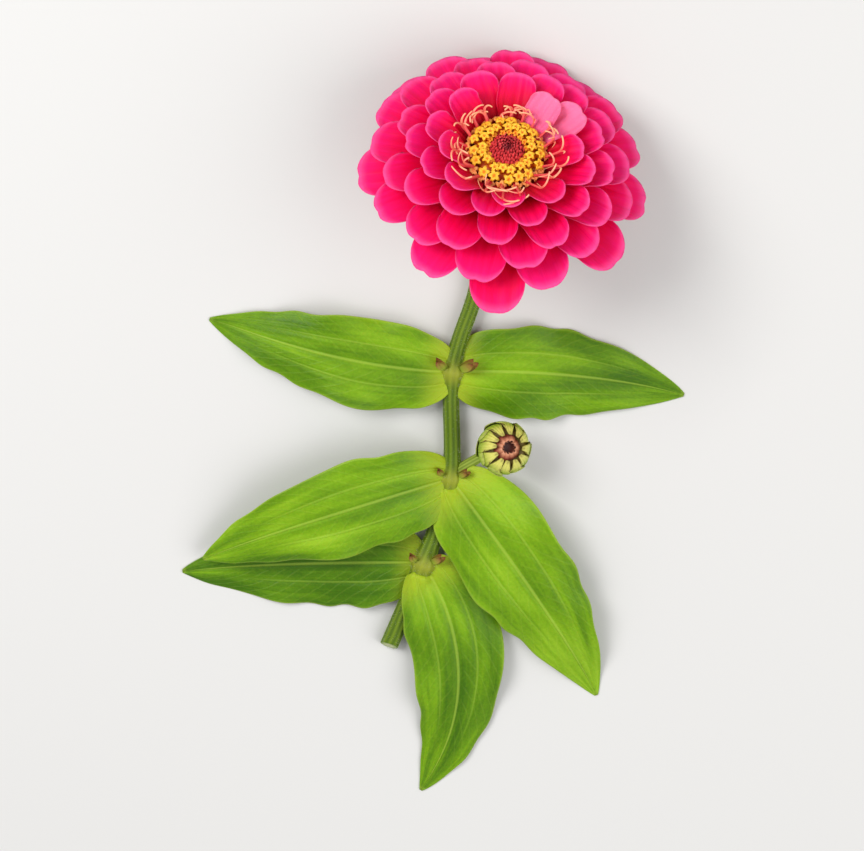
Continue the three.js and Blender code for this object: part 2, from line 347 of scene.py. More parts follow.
class GrowthTree(Nodes):
    """A Geometry Nodes tree that makes a piece, with a named input for each of its sizes."""

    def __init__(self, name: str) -> None:
        """Starts a tree.

        Args:
            name: What the tree is called.
        """
        super().__init__(bpy.data.node_groups.new(name, "GeometryNodeTree"))
        for way in ("INPUT", "OUTPUT"):
            self.tree.interface.new_socket("Geometry", in_out=way, socket_type="NodeSocketGeometry")
        self.start = self.add("NodeGroupInput")
        self.end = self.add("NodeGroupOutput")
        self.identifiers: dict[str, str] = {}
        self.values: dict[str, float] = {}

    def size(self, name: str, value: float) -> Value:
        """A named input of the tree for a length, an angle or a share, and its usual value."""
        return self.input("NodeSocketFloat", name, float(value))

    def count(self, name: str, value: int) -> Value:
        """A named input of the tree for a whole number, and its usual value."""
        return self.input("NodeSocketInt", name, value)

    def input(self, kind: str, name: str, value: float) -> Value:
        """A named input of the tree.

        Args:
            kind: Blender's name for the type of socket.
            name: What the input is called.
            value: Its value, unless a piece sets another.

        Returns:
            The input as a number for the tree.
        """
        item = self.tree.interface.new_socket(name, in_out="INPUT", socket_type=kind)
        self.identifiers[name] = item.identifier
        self.values[name] = value
        return Value(self, self.start.outputs[name])

    def slab(self, across: int, along: int) -> bpy.types.NodeSocket:
        """A closed flat slab with across by along faces on each side, which stores where each point is.

        Args:
            across: Faces from edge to edge.
            along: Faces from root to tip.

        Returns:
            The slab, with attributes across from -1 to 1, along from 0 to 1, and upper, 1 above and 0 below.
        """
        cube = self.fill(self.add("GeometryNodeMeshCube"), (2.0, 1.0, 1.0), across + 1, along + 1, 2)
        x, y, z = self.split(self.add("GeometryNodeInputPosition").outputs[0])
        made = self.keep(cube.outputs[0], "across", x)
        made = self.keep(made, "along", y + 0.5)
        return self.keep(made, "upper", z + 0.5)

    def rod(self, sides: int, along: int, caps: int = 1) -> bpy.types.NodeSocket:
        """A closed upright rod of radius 1, which stores where each point is.

        Args:
            sides: Faces round it.
            along: Faces from its foot to its top.
            caps: Rings of faces in each end.

        Returns:
            The rod, with attributes rod_x and rod_y from -1 to 1, and along from 0 to 1.
        """
        rod = self.add("GeometryNodeMeshCylinder", fill_type="TRIANGLE_FAN")
        self.fill(rod, sides, along, caps, 1.0, 1.0)
        x, y, z = self.split(self.add("GeometryNodeInputPosition").outputs[0])
        made = self.keep(rod.outputs[0], "rod_x", x)
        made = self.keep(made, "rod_y", y)
        return self.keep(made, "along", z + 0.5)

    def joined(self, parts: Sequence[bpy.types.NodeSocket]) -> bpy.types.NodeSocket:
        """Several geometries as one.

        Args:
            parts: The geometries.

        Returns:
            All of them together.
        """
        node = self.add("GeometryNodeJoinGeometry")
        for part in parts:
            self.tree.links.new(part, node.inputs[0])
        return node.outputs[0]

    def keep(self, geometry: bpy.types.NodeSocket, name: str, value: Number) -> bpy.types.NodeSocket:
        """Stores a number on every point of a geometry under a name."""
        node = self.add("GeometryNodeStoreNamedAttribute", data_type="FLOAT", domain="POINT")
        return self.feed(node, {"Geometry": geometry, "Name": name, "Value": value}).outputs[0]

    def kept(self, *names: str) -> list[Value]:
        """The numbers that keep stored under some names."""
        nodes = [self.add("GeometryNodeInputNamedAttribute", data_type="FLOAT") for _ in names]
        return [Value(self, self.fill(node, name).outputs[0]) for node, name in zip(nodes, names)]

    def real(self, geometry: bpy.types.NodeSocket) -> bpy.types.NodeSocket:
        """A geometry with its instances made real."""
        return self.fill(self.add("GeometryNodeRealizeInstances"), geometry).outputs[0]

    def copies(self, template: bpy.types.NodeSocket, count: Value, label: str) -> bpy.types.NodeSocket:
        """Real copies of a template, each of which stores its own number.

        Args:
            template: What is copied.
            count: How many copies.
            label: The attribute that holds a copy's number, from 0.

        Returns:
            The copies as one geometry, all in the same place.
        """
        points = self.fill(self.add("GeometryNodePoints"), count)
        number = Value(self, self.add("GeometryNodeInputIndex").outputs[0])
        placed = self.add("GeometryNodeInstanceOnPoints")
        self.feed(placed, {"Points": self.keep(points.outputs[0], label, number), "Instance": template})
        return self.real(placed.outputs[0])

    def move(self, geometry: bpy.types.NodeSocket, place: Sequence[Number]) -> bpy.types.NodeSocket:
        """Puts every point of a geometry where a place's three numbers say."""
        node = self.add("GeometryNodeSetPosition")
        return self.feed(node, {"Geometry": geometry, "Position": self.vector(*place)}).outputs[0]

    def finish(self, result: bpy.types.NodeSocket, material: bpy.types.Material) -> "GrowthTree":
        """Ends the tree.

        Args:
            result: What it makes, in millimetres.
            material: What that is made of.

        Returns:
            This tree, whose result is smooth, real and dressed.
        """
        smooth = self.fill(self.add("GeometryNodeSetShadeSmooth"), result)
        dressed = self.add("GeometryNodeSetMaterial")
        self.feed(dressed, {"Geometry": self.real(smooth.outputs[0]), "Material": material})
        self.connect(dressed.outputs[0], self.end.inputs[0])
        return self

    def grow(
        self,
        name: str,
        solid: Solid,
        host: bpy.types.Mesh | None = None,
        values: dict[str, float] | None = None,
    ) -> None:
        """Runs the finished tree, turns its result into a plain mesh and hands it over.

        Args:
            name: The piece's name.
            solid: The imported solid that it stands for.
            host: The mesh that the tree starts from, if it starts from one.
            values: The inputs whose value isn't the usual one.
        """
        carrier = bpy.data.objects.new(name, host or bpy.data.meshes.new(name))
        bpy.context.scene.collection.objects.link(carrier)
        modifier = carrier.modifiers.new(name, "NODES")
        modifier.node_group = self.tree
        for label, value in (self.values | (values or {})).items():
            modifier[self.identifiers[label]] = value
        grown = carrier.evaluated_get(bpy.context.evaluated_depsgraph_get())
        mesh = bpy.data.meshes.new_from_object(grown)
        bpy.data.objects.remove(carrier)
        hand_over(name, mesh, solid)


# ---------------------------------------------------------------- pieces and their places
def hand_over(name: str, mesh: bpy.types.Mesh, solid: Solid) -> None:
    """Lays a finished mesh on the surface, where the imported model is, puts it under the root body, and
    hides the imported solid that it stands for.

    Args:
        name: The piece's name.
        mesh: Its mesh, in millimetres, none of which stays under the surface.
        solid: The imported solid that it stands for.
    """
    mesh.transform(Matrix.Scale(MM, 4) @ Matrix.Translation(PLACE))
    for vertex in mesh.vertices:
        vertex.co.z = max(vertex.co.z, 0.0)
    piece, slot = piece_of(name, mesh), SLOTS[solid]
    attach(piece, "root")
    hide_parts(solid.value)
    log.info("%s: %d faces", piece.name, len(piece.data.polygons))


def piece_of(name: str, mesh: bpy.types.Mesh) -> bpy.types.Object:
    """Puts a mesh in the scene.

    Args:
        name: The piece's name.
        mesh: Its mesh, in metres.

    Returns:
        The piece.
    """
    mesh.name = name
    piece = bpy.data.objects.new(name, mesh)
    bpy.context.scene.collection.objects.link(piece)
    return piece


def settle(name: str, mesh: bpy.types.Mesh, finish: "Finish", solid: Solid) -> None:
    """Smooths and dresses a mesh that wasn't grown in a tree, and hands it over.

    Args:
        name: The piece's name.
        mesh: The mesh, in millimetres.
        finish: What it is made of.
        solid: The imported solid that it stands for.
    """
    mesh.materials.append(finish.material())
    mesh.shade_smooth()
    hand_over(name, mesh, solid)


@dataclass(frozen=True)
class OwnFrame:
    """Where a head or bud is and which way it faces.

    elevation is degrees from the surface up to the way it faces, and yaw is degrees from +Y towards +X.
    """

    centre: Triple
    elevation: float
    yaw: float

    def matrix(self) -> Matrix:
        """From this frame to the surface's."""
        tilt = Matrix.Rotation(-math.radians(90 - self.elevation), 4, "X")
        return Matrix.Translation(self.centre) @ Matrix.Rotation(-math.radians(self.yaw), 4, "Z") @ tilt

    def place(self, out: Number, side: Number, up: Number, angle: Value) -> Place:
        """A place in this frame, as coordinates on the surface.

        Args:
            out: How far it is from the axis.
            side: How far it is to the side of that.
            up: How high it is along the axis.
            angle: How far round the axis it is, in radians.

        Returns:
            Its coordinates.
        """
        x, y = out * cos(angle) - side * sin(angle), out * sin(angle) + side * cos(angle)
        return tuple(x * row[0] + y * row[1] + up * row[2] + row[3] for row in self.matrix()[:3])

    def direction(self, out: Number, up: Number, angle: Value) -> Place:
        """A direction in this frame, out from the axis and up along it, as numbers on the surface."""
        x, y = out * cos(angle), out * sin(angle)
        return tuple(x * row[0] + y * row[1] + up * row[2] for row in self.matrix()[:3])


HEAD = OwnFrame((0, 0, 24.6), 44, 8)
BUD = OwnFrame((1.5, -84, 15.5), 66, 35)


@dataclass(frozen=True)
class Turning:
    """A closed body of revolution in a frame of its own.

    Its profile is radii and heights, up from a point on the axis to another one.
    """

    name: str
    own_frame: OwnFrame
    profile: Profile
    sides: int = 48

    def build(self, finish: "Finish", solid: Solid) -> None:
        """Turns it.

        Args:
            finish: What it is made of.
            solid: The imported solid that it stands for.
        """
        foot, *middle, top = self.profile
        vertices = [(0.0, 0.0, foot[1])]
        for radius, height in middle:
            angles = (FULL_TURN * j / self.sides for j in range(self.sides))
            vertices.extend((radius * math.cos(angle), radius * math.sin(angle), height) for angle in angles)
        vertices.append((0.0, 0.0, top[1]))
        mesh = bpy.data.meshes.new(self.name)
        mesh.from_pydata(vertices, [], self.faces(len(middle)))
        mesh.transform(self.own_frame.matrix())
        settle(self.name, mesh, finish, solid)

    def faces(self, rings: int) -> list[tuple[int, ...]]:
        """The faces between its rings of vertices, and between those and its ends.

        Args:
            rings: How many rings there are.

        Returns:
            The vertices of each face.
        """
        faces, sides, last = [], self.sides, 1 + rings * self.sides
        for j in range(sides):
            after = (j + 1) % sides
            faces.append((0, 1 + after, 1 + j))
            for low in range(1, last - sides, sides):
                faces.append((low + j, low + after, low + sides + after, low + sides + j))
            faces.append((last - sides + j, last - sides + after, last))
        return faces


# ---------------------------------------------------------------- effects that finishes share
ITEMS_APART = 3.7
RIM_FADE = 0.4


class Effect(Nodes):
    """A shader node group under construction, which materials place with their own values."""

    def __init__(self, name: str) -> None:
        """Starts a group.

        Args:
            name: What the group is called.
        """
        super().__init__(bpy.data.node_groups.new(name, "ShaderNodeTree"))
        self.start = self.add("NodeGroupInput")
        self.end = self.add("NodeGroupOutput")

    def inputs(self, *names: str) -> list[Value]:
        """Gives the group its inputs.

        Args:
            names: What they are called.

        Returns:
            The inputs, in the same order.
        """
        for name in names:
            self.tree.interface.new_socket(name, in_out="INPUT", socket_type="NodeSocketFloat")
        return [Value(self, self.start.outputs[name]) for name in names]

    def gives(self, name: str, value: Value) -> bpy.types.NodeTree:
        """Ends the group.

        Args:
            name: What its output is called.
            value: What it puts out.

        Returns:
            The group.
        """
        self.tree.interface.new_socket(name, in_out="OUTPUT", socket_type="NodeSocketFloat")
        self.connect(value, self.end.inputs[name])
        return self.tree

    def noise(self, vector: bpy.types.NodeSocket, scale: Number, detail: float) -> Value:
        """Cloudy noise from 0 to 1.

        Args:
            vector: Where it is read.
            scale: Its repeats a unit of the vector.
            detail: How many finer layers it has.

        Returns:
            The noise.
        """
        node = self.feed(self.add("ShaderNodeTexNoise"), {"Vector": vector, "Scale": scale, "Detail": detail})
        return Value(self, node.outputs["Fac"])


@cache
def mottle() -> bpy.types.NodeTree:
    """Cloudy tone all over.

    Returns:
        A group that puts out Mottle, from 0 to 1, whose clouds are Size millimetres across.
    """
    effect = Effect("mottle")
    (size,) = effect.inputs("Size")
    place = effect.add("ShaderNodeTexCoord").outputs["Object"]
    return effect.gives("Mottle", effect.noise(place, 1 / (size * MM), 2.0))


@cache
def streaks() -> bpy.types.NodeTree:
    """Uneven streaks from foot to tip.

    Fineness is how many there are from the middle to an edge, Breaks is how often each one changes on its way
    to the tip, and Item tells one petal or leaf from the next.

    Returns:
        A group that puts out Streak, from 0 to 1.
    """
    effect = Effect("streaks")
    across, along, item, fineness, breaks = effect.inputs("Across", "Along", "Item", "Fineness", "Breaks")
    place = effect.vector(across * fineness, along * breaks, item * ITEMS_APART)
    return effect.gives("Streak", effect.noise(place, 1.0, 3.0))


@cache
def rim() -> bpy.types.NodeTree:
    """The edge of a petal, leaf or bract.

    Returns:
        A group that puts out Rim, 1 at the edge and 0 inside Start, which fades in along from Foot.
    """
    effect = Effect("rim")
    across, along, start, foot = effect.inputs("Across", "Along", "Start", "Foot")
    edge = smoothstep(larger(size_of(across), along * along), start, 1.0)
    return effect.gives("Rim", edge * smoothstep(along, foot, foot + RIM_FADE))


@cache
def ribs() -> bpy.types.NodeTree:
    """Fine ribs side by side.

    Returns:
        A group that puts out Ribs, from 0 to 1: Count of them over the width, pushed sideways by Waver.
    """
    effect = Effect("ribs")
    across, count, waver = effect.inputs("Across", "Count", "Waver")
    return effect.gives("Ribs", sin(across * count * math.pi + waver) * 0.5 + 0.5)


@cache
def own_tone() -> bpy.types.NodeTree:
    """A tone of its own for each numbered item.

    Returns:
        A group that puts out Tone, from -1 to 1, for Item; Series tells one kind of tone from another.
    """
    effect = Effect("own_tone")
    item, series = effect.inputs("Item", "Series")
    return effect.gives("Tone", draw(item, series))


# ---------------------------------------------------------------- finishes
@dataclass
class Surface:
    """What varies over a surface: its colour, relief from 0 to about 1, and roughness, where it does."""

    colour: object
    relief: Value | None = None
    roughness: Value | None = None


class Paint(Nodes):
    """A material's node tree.

    A Mix node has a set of sockets for each type of value, and these are the ones that it uses for colours.
    """

    MIX_INPUTS = (0, 6, 7)
    MIX_RESULT = 2

    def attributes(self, *names: str) -> list[Value]:
        """The numbers that a piece stores on its points under some names."""
        nodes = (self.add("ShaderNodeAttribute", attribute_name=name) for name in names)
        return [Value(self, node.outputs["Fac"]) for node in nodes]

    def effect(self, group: bpy.types.NodeTree, **values: Number) -> Value:
        """A shared effect with this material's own values for the group's inputs, under their names."""
        named = {name.capitalize(): value for name, value in values.items()}
        return Value(self, self.feed(self.add("ShaderNodeGroup", node_tree=group), named).outputs[0])

    def ramp(self, value: Value, *stops: tuple[float, Colour]) -> bpy.types.NodeSocket:
        """A colour that follows a number.

        Args:
            value: The number, from 0 to 1.
            stops: Places from 0 to 1 and their linear colours, in order.

        Returns:
            The colour.
        """
        node = self.fill(self.add("ShaderNodeValToRGB"), value)
        elements = node.color_ramp.elements
        for element, (position, colour) in zip(elements, (stops[0], stops[-1])):
            element.position, element.color = position, (*colour, 1)
        for position, colour in stops[1:-1]:
            elements.new(position).color = (*colour, 1)
        return node.outputs[0]

    def mix(self, share: Number, a: object, b: object) -> bpy.types.NodeSocket:
        """Blends two colours.

        Args:
            share: How much of b there is, from 0 to 1.
            a: A colour.
            b: The other colour.

        Returns:
            The blend.
        """
        node = self.add("ShaderNodeMix", data_type="RGBA")
        for index, value in zip(self.MIX_INPUTS, (share, a, b)):
            self.connect(value, node.inputs[index])
        return node.outputs[self.MIX_RESULT]


@dataclass(frozen=True)
class Finish:
    """A material: its name, its shader's plain settings, and how deep its relief is in millimetres."""

    name: str
    roughness: float = 0.5
    specular: float = 0.5
    sheen: float = 0.0
    sheen_tint: Colour = (1.0, 0.25, 0.5)
    softness: float = 0.0
    depth: float = 0.1

    @cache
    def material(self) -> bpy.types.Material:
        """Builds the material the first time that a piece needs it.

        Returns:
            The material.
        """
        made = bpy.data.materials.new(self.name)
        made.use_nodes = True
        paint = Paint(made.node_tree)
        shader = paint.tree.nodes["Principled BSDF"]
        surface = self.surface(paint)
        settings = {
            "Base Color": surface.colour,
            "Roughness": surface.roughness or self.roughness,
            "Specular IOR Level": self.specular,
            "Sheen Weight": self.sheen,
            "Sheen Tint": self.sheen_tint,
            "Subsurface Weight": self.softness,
            "Subsurface Scale": MM,
        }
        if surface.relief:
            bump = paint.add("ShaderNodeBump")
            paint.feed(bump, {"Distance": self.depth * MM, "Height": surface.relief})
            settings["Normal"] = bump.outputs[0]
        paint.feed(shader, settings)
        return made

    def surface(self, paint: Paint) -> Surface:
        """What varies over the surface.

        Args:
            paint: The material's node tree.

        Returns:
            The colour, relief and roughness.
        """
        raise NotImplementedError


@dataclass(frozen=True)
class PetalFinish(Finish):
    """Velvety crimson, deep red at the foot and pink towards the rim, with two paler petals: the deep red
    foot is partly the petal's own colour and partly painted shade between the petals, and the pink rim is
    partly its own and partly a painted highlight.
    """

    # The dark foot stops are partly the petal's own deep red and partly painted shade between the petals.
    crimson: Stops = (
        (0.0, (0.09, 0.0, 0.003)), (0.28, (0.32, 0.0, 0.005)), (0.5, (0.62, 0.0, 0.022)),
        (0.75, (0.87, 0.0, 0.082)), (1.0, (0.92, 0.008, 0.19)),
    )
    pale: Stops = ((0.0, (0.7, 0.02, 0.1)), (0.4, (0.92, 0.14, 0.32)), (1.0, (0.94, 0.19, 0.38)))
    pale_petals: tuple[int, int] = (58, 50)
    # The pink edge is partly the petal's own paler rim and partly a painted highlight on the upturned rims.
    edge: Colour = (1.0, 0.13, 0.38)
    edge_and_highlight_share: float = 0.55
    back: Colour = (0.85, 0.08, 0.22)
    back_share: float = 0.4

    def surface(self, paint: Paint) -> Surface:
        """Colour runs out from the foot in streaks, and fine ribs run with it; the dark foot is partly
        painted shade between the petals and the pink edge partly a painted highlight.

        Args:
            paint: The material's node tree.

        Returns:
            The colour, relief and roughness.
        """
        u, v, upper, floret = paint.attributes("across", "along", "upper", "floret")
        streak = paint.effect(streaks(), across=u, along=v, item=floret, fineness=9.0, breaks=1.3)
        tone = paint.effect(own_tone(), item=floret, series=19.0)
        # The ramp's dark foot is partly the petal's own deep red and partly painted shade between the petals.
        body = paint.ramp(v + (streak - 0.5) * 0.22 + tone * 0.05, *self.crimson)
        # Pink edge: partly the petal's own paler rim, partly a painted highlight on the upturned rims.
        edge = paint.effect(rim(), across=u, along=v, start=0.82, foot=0.35)
        rimmed = paint.mix(edge * self.edge_and_highlight_share, body, self.edge)
        is_pale = larger(same(floret, self.pale_petals[0]), same(floret, self.pale_petals[1]))
        front = paint.mix(is_pale, rimmed, paint.ramp(v, *self.pale))
        back = paint.mix(self.back_share, rimmed, self.back)
        relief = paint.effect(ribs(), across=u, count=6.4, waver=streak * 2) * 0.7 + streak * 0.6
        return Surface(paint.mix(upper, back, front), relief, streak * 0.2 + 0.4)


@dataclass(frozen=True)
class LeafFinish(Finish):
    """Yellowish green with three pale main veins, finer ones between, and a pale base and margin."""

    green: Stops = (
        (0.32, (0.05, 0.14, 0.001)), (0.45, (0.105, 0.235, 0.002)),
        (0.57, (0.18, 0.355, 0.004)), (0.70, (0.28, 0.48, 0.016)),
    )
    vein: Colour = (0.38, 0.54, 0.06)
    base: Colour = (0.42, 0.52, 0.02)
    lateral_at: float = LATERAL_VEIN
    finer_veins: float = 9.6

    def surface(self, paint: Paint) -> Surface:
        """Soft clouds of tone along the blade, with the veins in relief.

        Args:
            paint: The material's node tree.

        Returns:
            The colour, relief and roughness.
        """
        u, v, tone = paint.attributes("across", "along", "tone")
        reach = size_of(u)
        cloud = paint.effect(streaks(), across=u, along=v, item=tone, fineness=1.6, breaks=2.2)
        streak = paint.effect(streaks(), across=u, along=v, item=tone, fineness=13.0, breaks=2.5)
        fine = paint.effect(mottle(), size=0.9)
        body = paint.ramp(cloud * 0.72 + streak * 0.16 + fine * 0.12 + tone * 0.12, *self.green)
        midrib = smoothstep(reach, 0.01, 0.05, 1, 0)
        lateral = smoothstep(size_of(reach - self.lateral_at), 0.008, 0.035, 1, 0)
        lateral = lateral * smoothstep(v, 0.5, 0.85, 1, 0)
        slanted, waver = v * 3.2 - reach * 0.9, (cloud - 0.5) * 8
        slant = paint.effect(ribs(), across=slanted, count=self.finer_veins, waver=waver)
        finer = smoothstep(slant, 0.86, 1.0) * smoothstep(reach, 0.05, 0.2)
        veins = larger(midrib, lateral * 0.55)
        veined = paint.mix(larger(veins * 0.5, finer * 0.07), body, self.vein)
        based = paint.mix(smoothstep(v, 0.0, 0.16, 0.75, 0), veined, self.base)
        edge = paint.effect(rim(), across=u, along=v, start=0.95, foot=-0.4)
        edged = paint.mix(edge * 0.5, based, self.vein)
        relief = (1 - veins) * 0.6 + streak * 0.4 + finer * -0.12 + fine * 0.25
        return Surface(edged, relief, fine * 0.12 + streak * 0.1 + 0.33)


@dataclass(frozen=True)
class StalkFinish(Finish):
    """Olive green with fine darker lines, paler at the nodes, and a pale cut with whitish pith."""

    dark: Colour = (0.045, 0.10, 0.002)
    light: Colour = (0.18, 0.27, 0.012)
    node: Colour = (0.34, 0.36, 0.03)
    node_share: float = 0.75
    line_count: float = 18.0
    cut_face: Stops = (
        (0.0, (0.16, 0.26, 0.03)), (0.35, (0.42, 0.52, 0.16)),
        (0.6, (0.68, 0.70, 0.42)), (1.0, (0.55, 0.56, 0.3)),
    )

    def surface(self, paint: Paint) -> Surface:
        """Lines run with the stalk's ribs, and the cut is ringed.

        Args:
            paint: The material's node tree.

        Returns:
            The colour, relief and roughness.
        """
        around, along, node, cut = paint.attributes("around", "along", "node", "cut")
        patch = paint.effect(streaks(), across=around, along=along, item=0.0, fineness=2.0, breaks=0.06)
        lines = paint.effect(ribs(), across=around, count=self.line_count, waver=patch * 3)
        fine = paint.effect(mottle(), size=0.6)
        body = paint.mix(lines * 0.55 + patch * 0.35 + fine * 0.1, self.dark, self.light)
        noded = paint.mix(node * self.node_share, body, self.node)
        coloured = paint.mix(smoothstep(cut, 0.0, 0.02), noded, paint.ramp(cut, *self.cut_face))
        return Surface(coloured, lines * 0.5 + fine * 0.5, fine * 0.2 + 0.4)


@dataclass(frozen=True)
class FadingFinish(Finish):
    """A colour that runs from foot through middle to tip, with fine mottling."""

    foot: Colour = (0.1, 0.2, 0.02)
    middle: Colour = (0.1, 0.2, 0.02)
    tip: Colour = (0.1, 0.2, 0.02)

    def surface(self, paint: Paint) -> Surface:
        """Mottling blurs the run of colour.

        Args:
            paint: The material's node tree.

        Returns:
            The colour, relief and roughness.
        """
        (v,) = paint.attributes("along")
        fine = paint.effect(mottle(), size=0.9)
        body = paint.ramp(v + (fine - 0.5) * 0.3, (0.05, self.foot), (0.5, self.middle), (0.92, self.tip))
        return Surface(body, fine, fine * 0.2 + (self.roughness - 0.1))


@dataclass(frozen=True)
class MottledFinish(Finish):
    """Two tones in soft clouds."""

    dark: Colour = (0.1, 0.2, 0.02)
    light: Colour = (0.2, 0.3, 0.03)
    cloud: float = 2.5

    def surface(self, paint: Paint) -> Surface:
        """Clouds of the two tones."""
        clouds = paint.effect(mottle(), size=self.cloud)
        return Surface(paint.ramp(clouds, (0.3, self.dark), (0.7, self.light)), clouds)


@dataclass(frozen=True)
class StarFinish(Finish):
    """Yellow stars on orange tubes, with peach in the outermost row and more orange in the innermost."""

    yellow: Colour = (1.0, 0.60, 0.03)
    throat: Colour = (0.78, 0.16, 0.0)
    peach: Colour = (1.0, 0.36, 0.16)
    peach_row: int = 2
    orange: Colour = (0.9, 0.16, 0.01)
    orange_row: int = 3
    shade: Colour = (0.95, 0.34, 0.0)
    tube: Stops = ((0.0, (0.5, 0.03, 0.0)), (0.6, (0.9, 0.24, 0.0)), (0.9, (1.0, 0.5, 0.015)))

    def surface(self, paint: Paint) -> Surface:
        """The throat is darker than the star's lobes, and each row has its own tint.

        Args:
            paint: The material's node tree.

        Returns:
            The colour, relief and roughness.
        """
        v, row, x, y, floret = paint.attributes("along", "row", "rod_x", "rod_y", "floret")
        spoke = (x * x + y * y) ** 0.5
        lobes = paint.mix(smoothstep(spoke, 0.1, 0.6), self.throat, self.yellow)
        star = paint.mix(smoothstep(v, 0.95, 1.0), paint.ramp(v, *self.tube), lobes)
        outer = paint.mix(same(row, self.peach_row) * 0.75, star, self.peach)
        tinted = paint.mix(same(row, self.orange_row) * 0.45, outer, self.orange)
        tone = paint.effect(own_tone(), item=floret, series=23.0)
        return Surface(paint.mix(tone * 0.12 + 0.12, tinted, self.shade), paint.effect(mottle(), size=0.7))


@dataclass(frozen=True)
class ScaleFinish(Finish):
    """Maroon scales, redder and lighter at their tips, and darkest in the middle of the dome."""

    maroon: Stops = ((0.0, (0.10, 0.002, 0.004)), (0.5, (0.56, 0.014, 0.024)), (1.0, (0.86, 0.08, 0.09)))
    middle: Colour = (0.13, 0.004, 0.016)
    middle_scales: Pair = (2, 22)
    middle_share: float = 0.65

    def surface(self, paint: Paint) -> Surface:
        """The innermost scales fade to the middle's colour, and each has its own tone.

        Args:
            paint: The material's node tree.

        Returns:
            The colour, relief and roughness.
        """
        v, floret = paint.attributes("along", "floret")
        tone = paint.effect(own_tone(), item=floret, series=29.0)
        faded = smoothstep(floret, *self.middle_scales, self.middle_share, 0)
        body = paint.ramp(v + tone * 0.12, *self.maroon)
        return Surface(paint.mix(faded, body, self.middle), paint.effect(mottle(), size=0.7))


@dataclass(frozen=True)
class BractFinish(Finish):
    """Yellow green, paler at the tip, with a dark line down each side and a mark at the tip."""

    foot: Colour = (0.10, 0.22, 0.01)
    body: Colour = (0.25, 0.38, 0.02)
    tip: Colour = (0.34, 0.46, 0.05)
    dark: Colour = (0.13, 0.10, 0.015)
    line_at: float = 0.6

    def surface(self, paint: Paint) -> Surface:
        """Dark lines fade in towards the middle of the bract's length, and ribs run with it.

        Args:
            paint: The material's node tree.

        Returns:
            The colour, relief and roughness.
        """
        u, v, bract = paint.attributes("across", "along", "bract")
        fine = paint.effect(mottle(), size=1.7)
        tone = paint.effect(own_tone(), item=bract, series=37.0)
        body = paint.ramp(v + fine * 0.1 + tone * 0.05, (0.0, self.foot), (0.6, self.body), (0.9, self.tip))
        side = paint.effect(rim(), across=u, along=v * 0.9, start=self.line_at, foot=0.2)
        mark = smoothstep(size_of(u), 0.05, 0.25, 0.5, 0) * smoothstep(v, 0.9, 0.97)
        marked = paint.mix(larger(side * smoothstep(v, 0.3, 0.6), mark), body, self.dark)
        return Surface(marked, paint.effect(ribs(), across=u, count=6.0, waver=0.0))


@dataclass(frozen=True)
class FoldedFinish(Finish):
    """Brownish pink of the bud's folded florets, dark down their sides and inside."""

    foot: Colour = (0.08, 0.010, 0.003)
    body: Colour = (0.36, 0.07, 0.045)
    tip: Colour = (0.66, 0.28, 0.15)
    dark: Colour = (0.10, 0.012, 0.008)

    def surface(self, paint: Paint) -> Surface:
        """The colour lightens to the tip, and the inner face is dark.

        Args:
            paint: The material's node tree.

        Returns:
            The colour, relief and roughness.
        """
        u, v, upper, floret = paint.attributes("across", "along", "upper", "floret")
        fine = paint.effect(mottle(), size=1.4)
        tone = paint.effect(own_tone(), item=floret, series=41.0)
        body = paint.ramp(v + fine * 0.15 + tone * 0.08, (0.0, self.foot), (0.55, self.body), (1.0, self.tip))
        side = paint.effect(rim(), across=u, along=v * 0.6, start=0.45, foot=-0.2)
        return Surface(paint.mix(upper, paint.mix(side * 0.7, body, self.dark), self.foot), fine)


@dataclass(frozen=True)
class FloorFinish(Finish):
    """A plain pale grey."""

    grey: Colour = (0.70, 0.69, 0.67)

    def surface(self, paint: Paint) -> Surface:
        """One colour."""
        return Surface(self.grey)


PETAL = PetalFinish("petal", specular=0.12, sheen=0.03, softness=0.2, depth=0.25)
LEAF = LeafFinish("leaf", specular=0.2, softness=0.1, depth=0.4)
STALK = StalkFinish("stem", specular=0.25, depth=0.15)
BUD_STALK = StalkFinish(
    "bud_stalk", specular=0.25, depth=0.15, dark=(0.14, 0.22, 0.012), light=(0.36, 0.46, 0.06)
)
YOUNG_LEAF = FadingFinish(
    "axil_leaf", foot=(0.30, 0.40, 0.03), middle=(0.36, 0.30, 0.04), tip=(0.26, 0.07, 0.02)
)
HAIR = MottledFinish("hair", roughness=0.4, dark=(0.42, 0.50, 0.22), light=(0.6, 0.66, 0.38))
STYLE = FadingFinish(
    "style", roughness=0.45, foot=(0.70, 0.01, 0.05), middle=(0.92, 0.14, 0.13), tip=(1.0, 0.48, 0.26)
)
STAR = StarFinish("disc_star", depth=0.15)
SCALE = ScaleFinish("disc_centre")
CORE = MottledFinish("core", roughness=0.6, dark=(0.16, 0.0, 0.01), light=(0.3, 0.0, 0.02))
CUP = MottledFinish("cup", roughness=0.55, dark=(0.09, 0.19, 0.01), light=(0.18, 0.32, 0.025), cloud=3.3)
BUD_CUP = MottledFinish(
    "bud_cup", roughness=0.55, dark=(0.09, 0.055, 0.006), light=(0.17, 0.12, 0.015), cloud=3.3
)
BRACT = BractFinish("bract", depth=0.12)
BUD_BRACT = BractFinish("bud_bract", depth=0.12, body=(0.28, 0.42, 0.03), tip=(0.46, 0.54, 0.09), line_at=0.7)
BUD_TIP = BractFinish(
    "bud_tip", depth=0.12, body=(0.34, 0.44, 0.03), tip=(0.68, 0.65, 0.13), dark=(0.10, 0.03, 0.005),
    line_at=0.7,
)
FOLDED = FoldedFinish("folded_floret")
FLOOR = FloorFinish("floor", roughness=0.9)


# ---------------------------------------------------------------- flower head
class PetalDraw(IntEnum):
    """The draws of a petal, by their series."""

    AZIMUTH = 2
    START = 3
    END = 6
    LENGTH = 7
    WIDTH = 10
    CUP = 11
    ROLL = 13
    NOTCH = 14
    SLOW_RUFFLE = 15
    QUICK_RUFFLE = 17


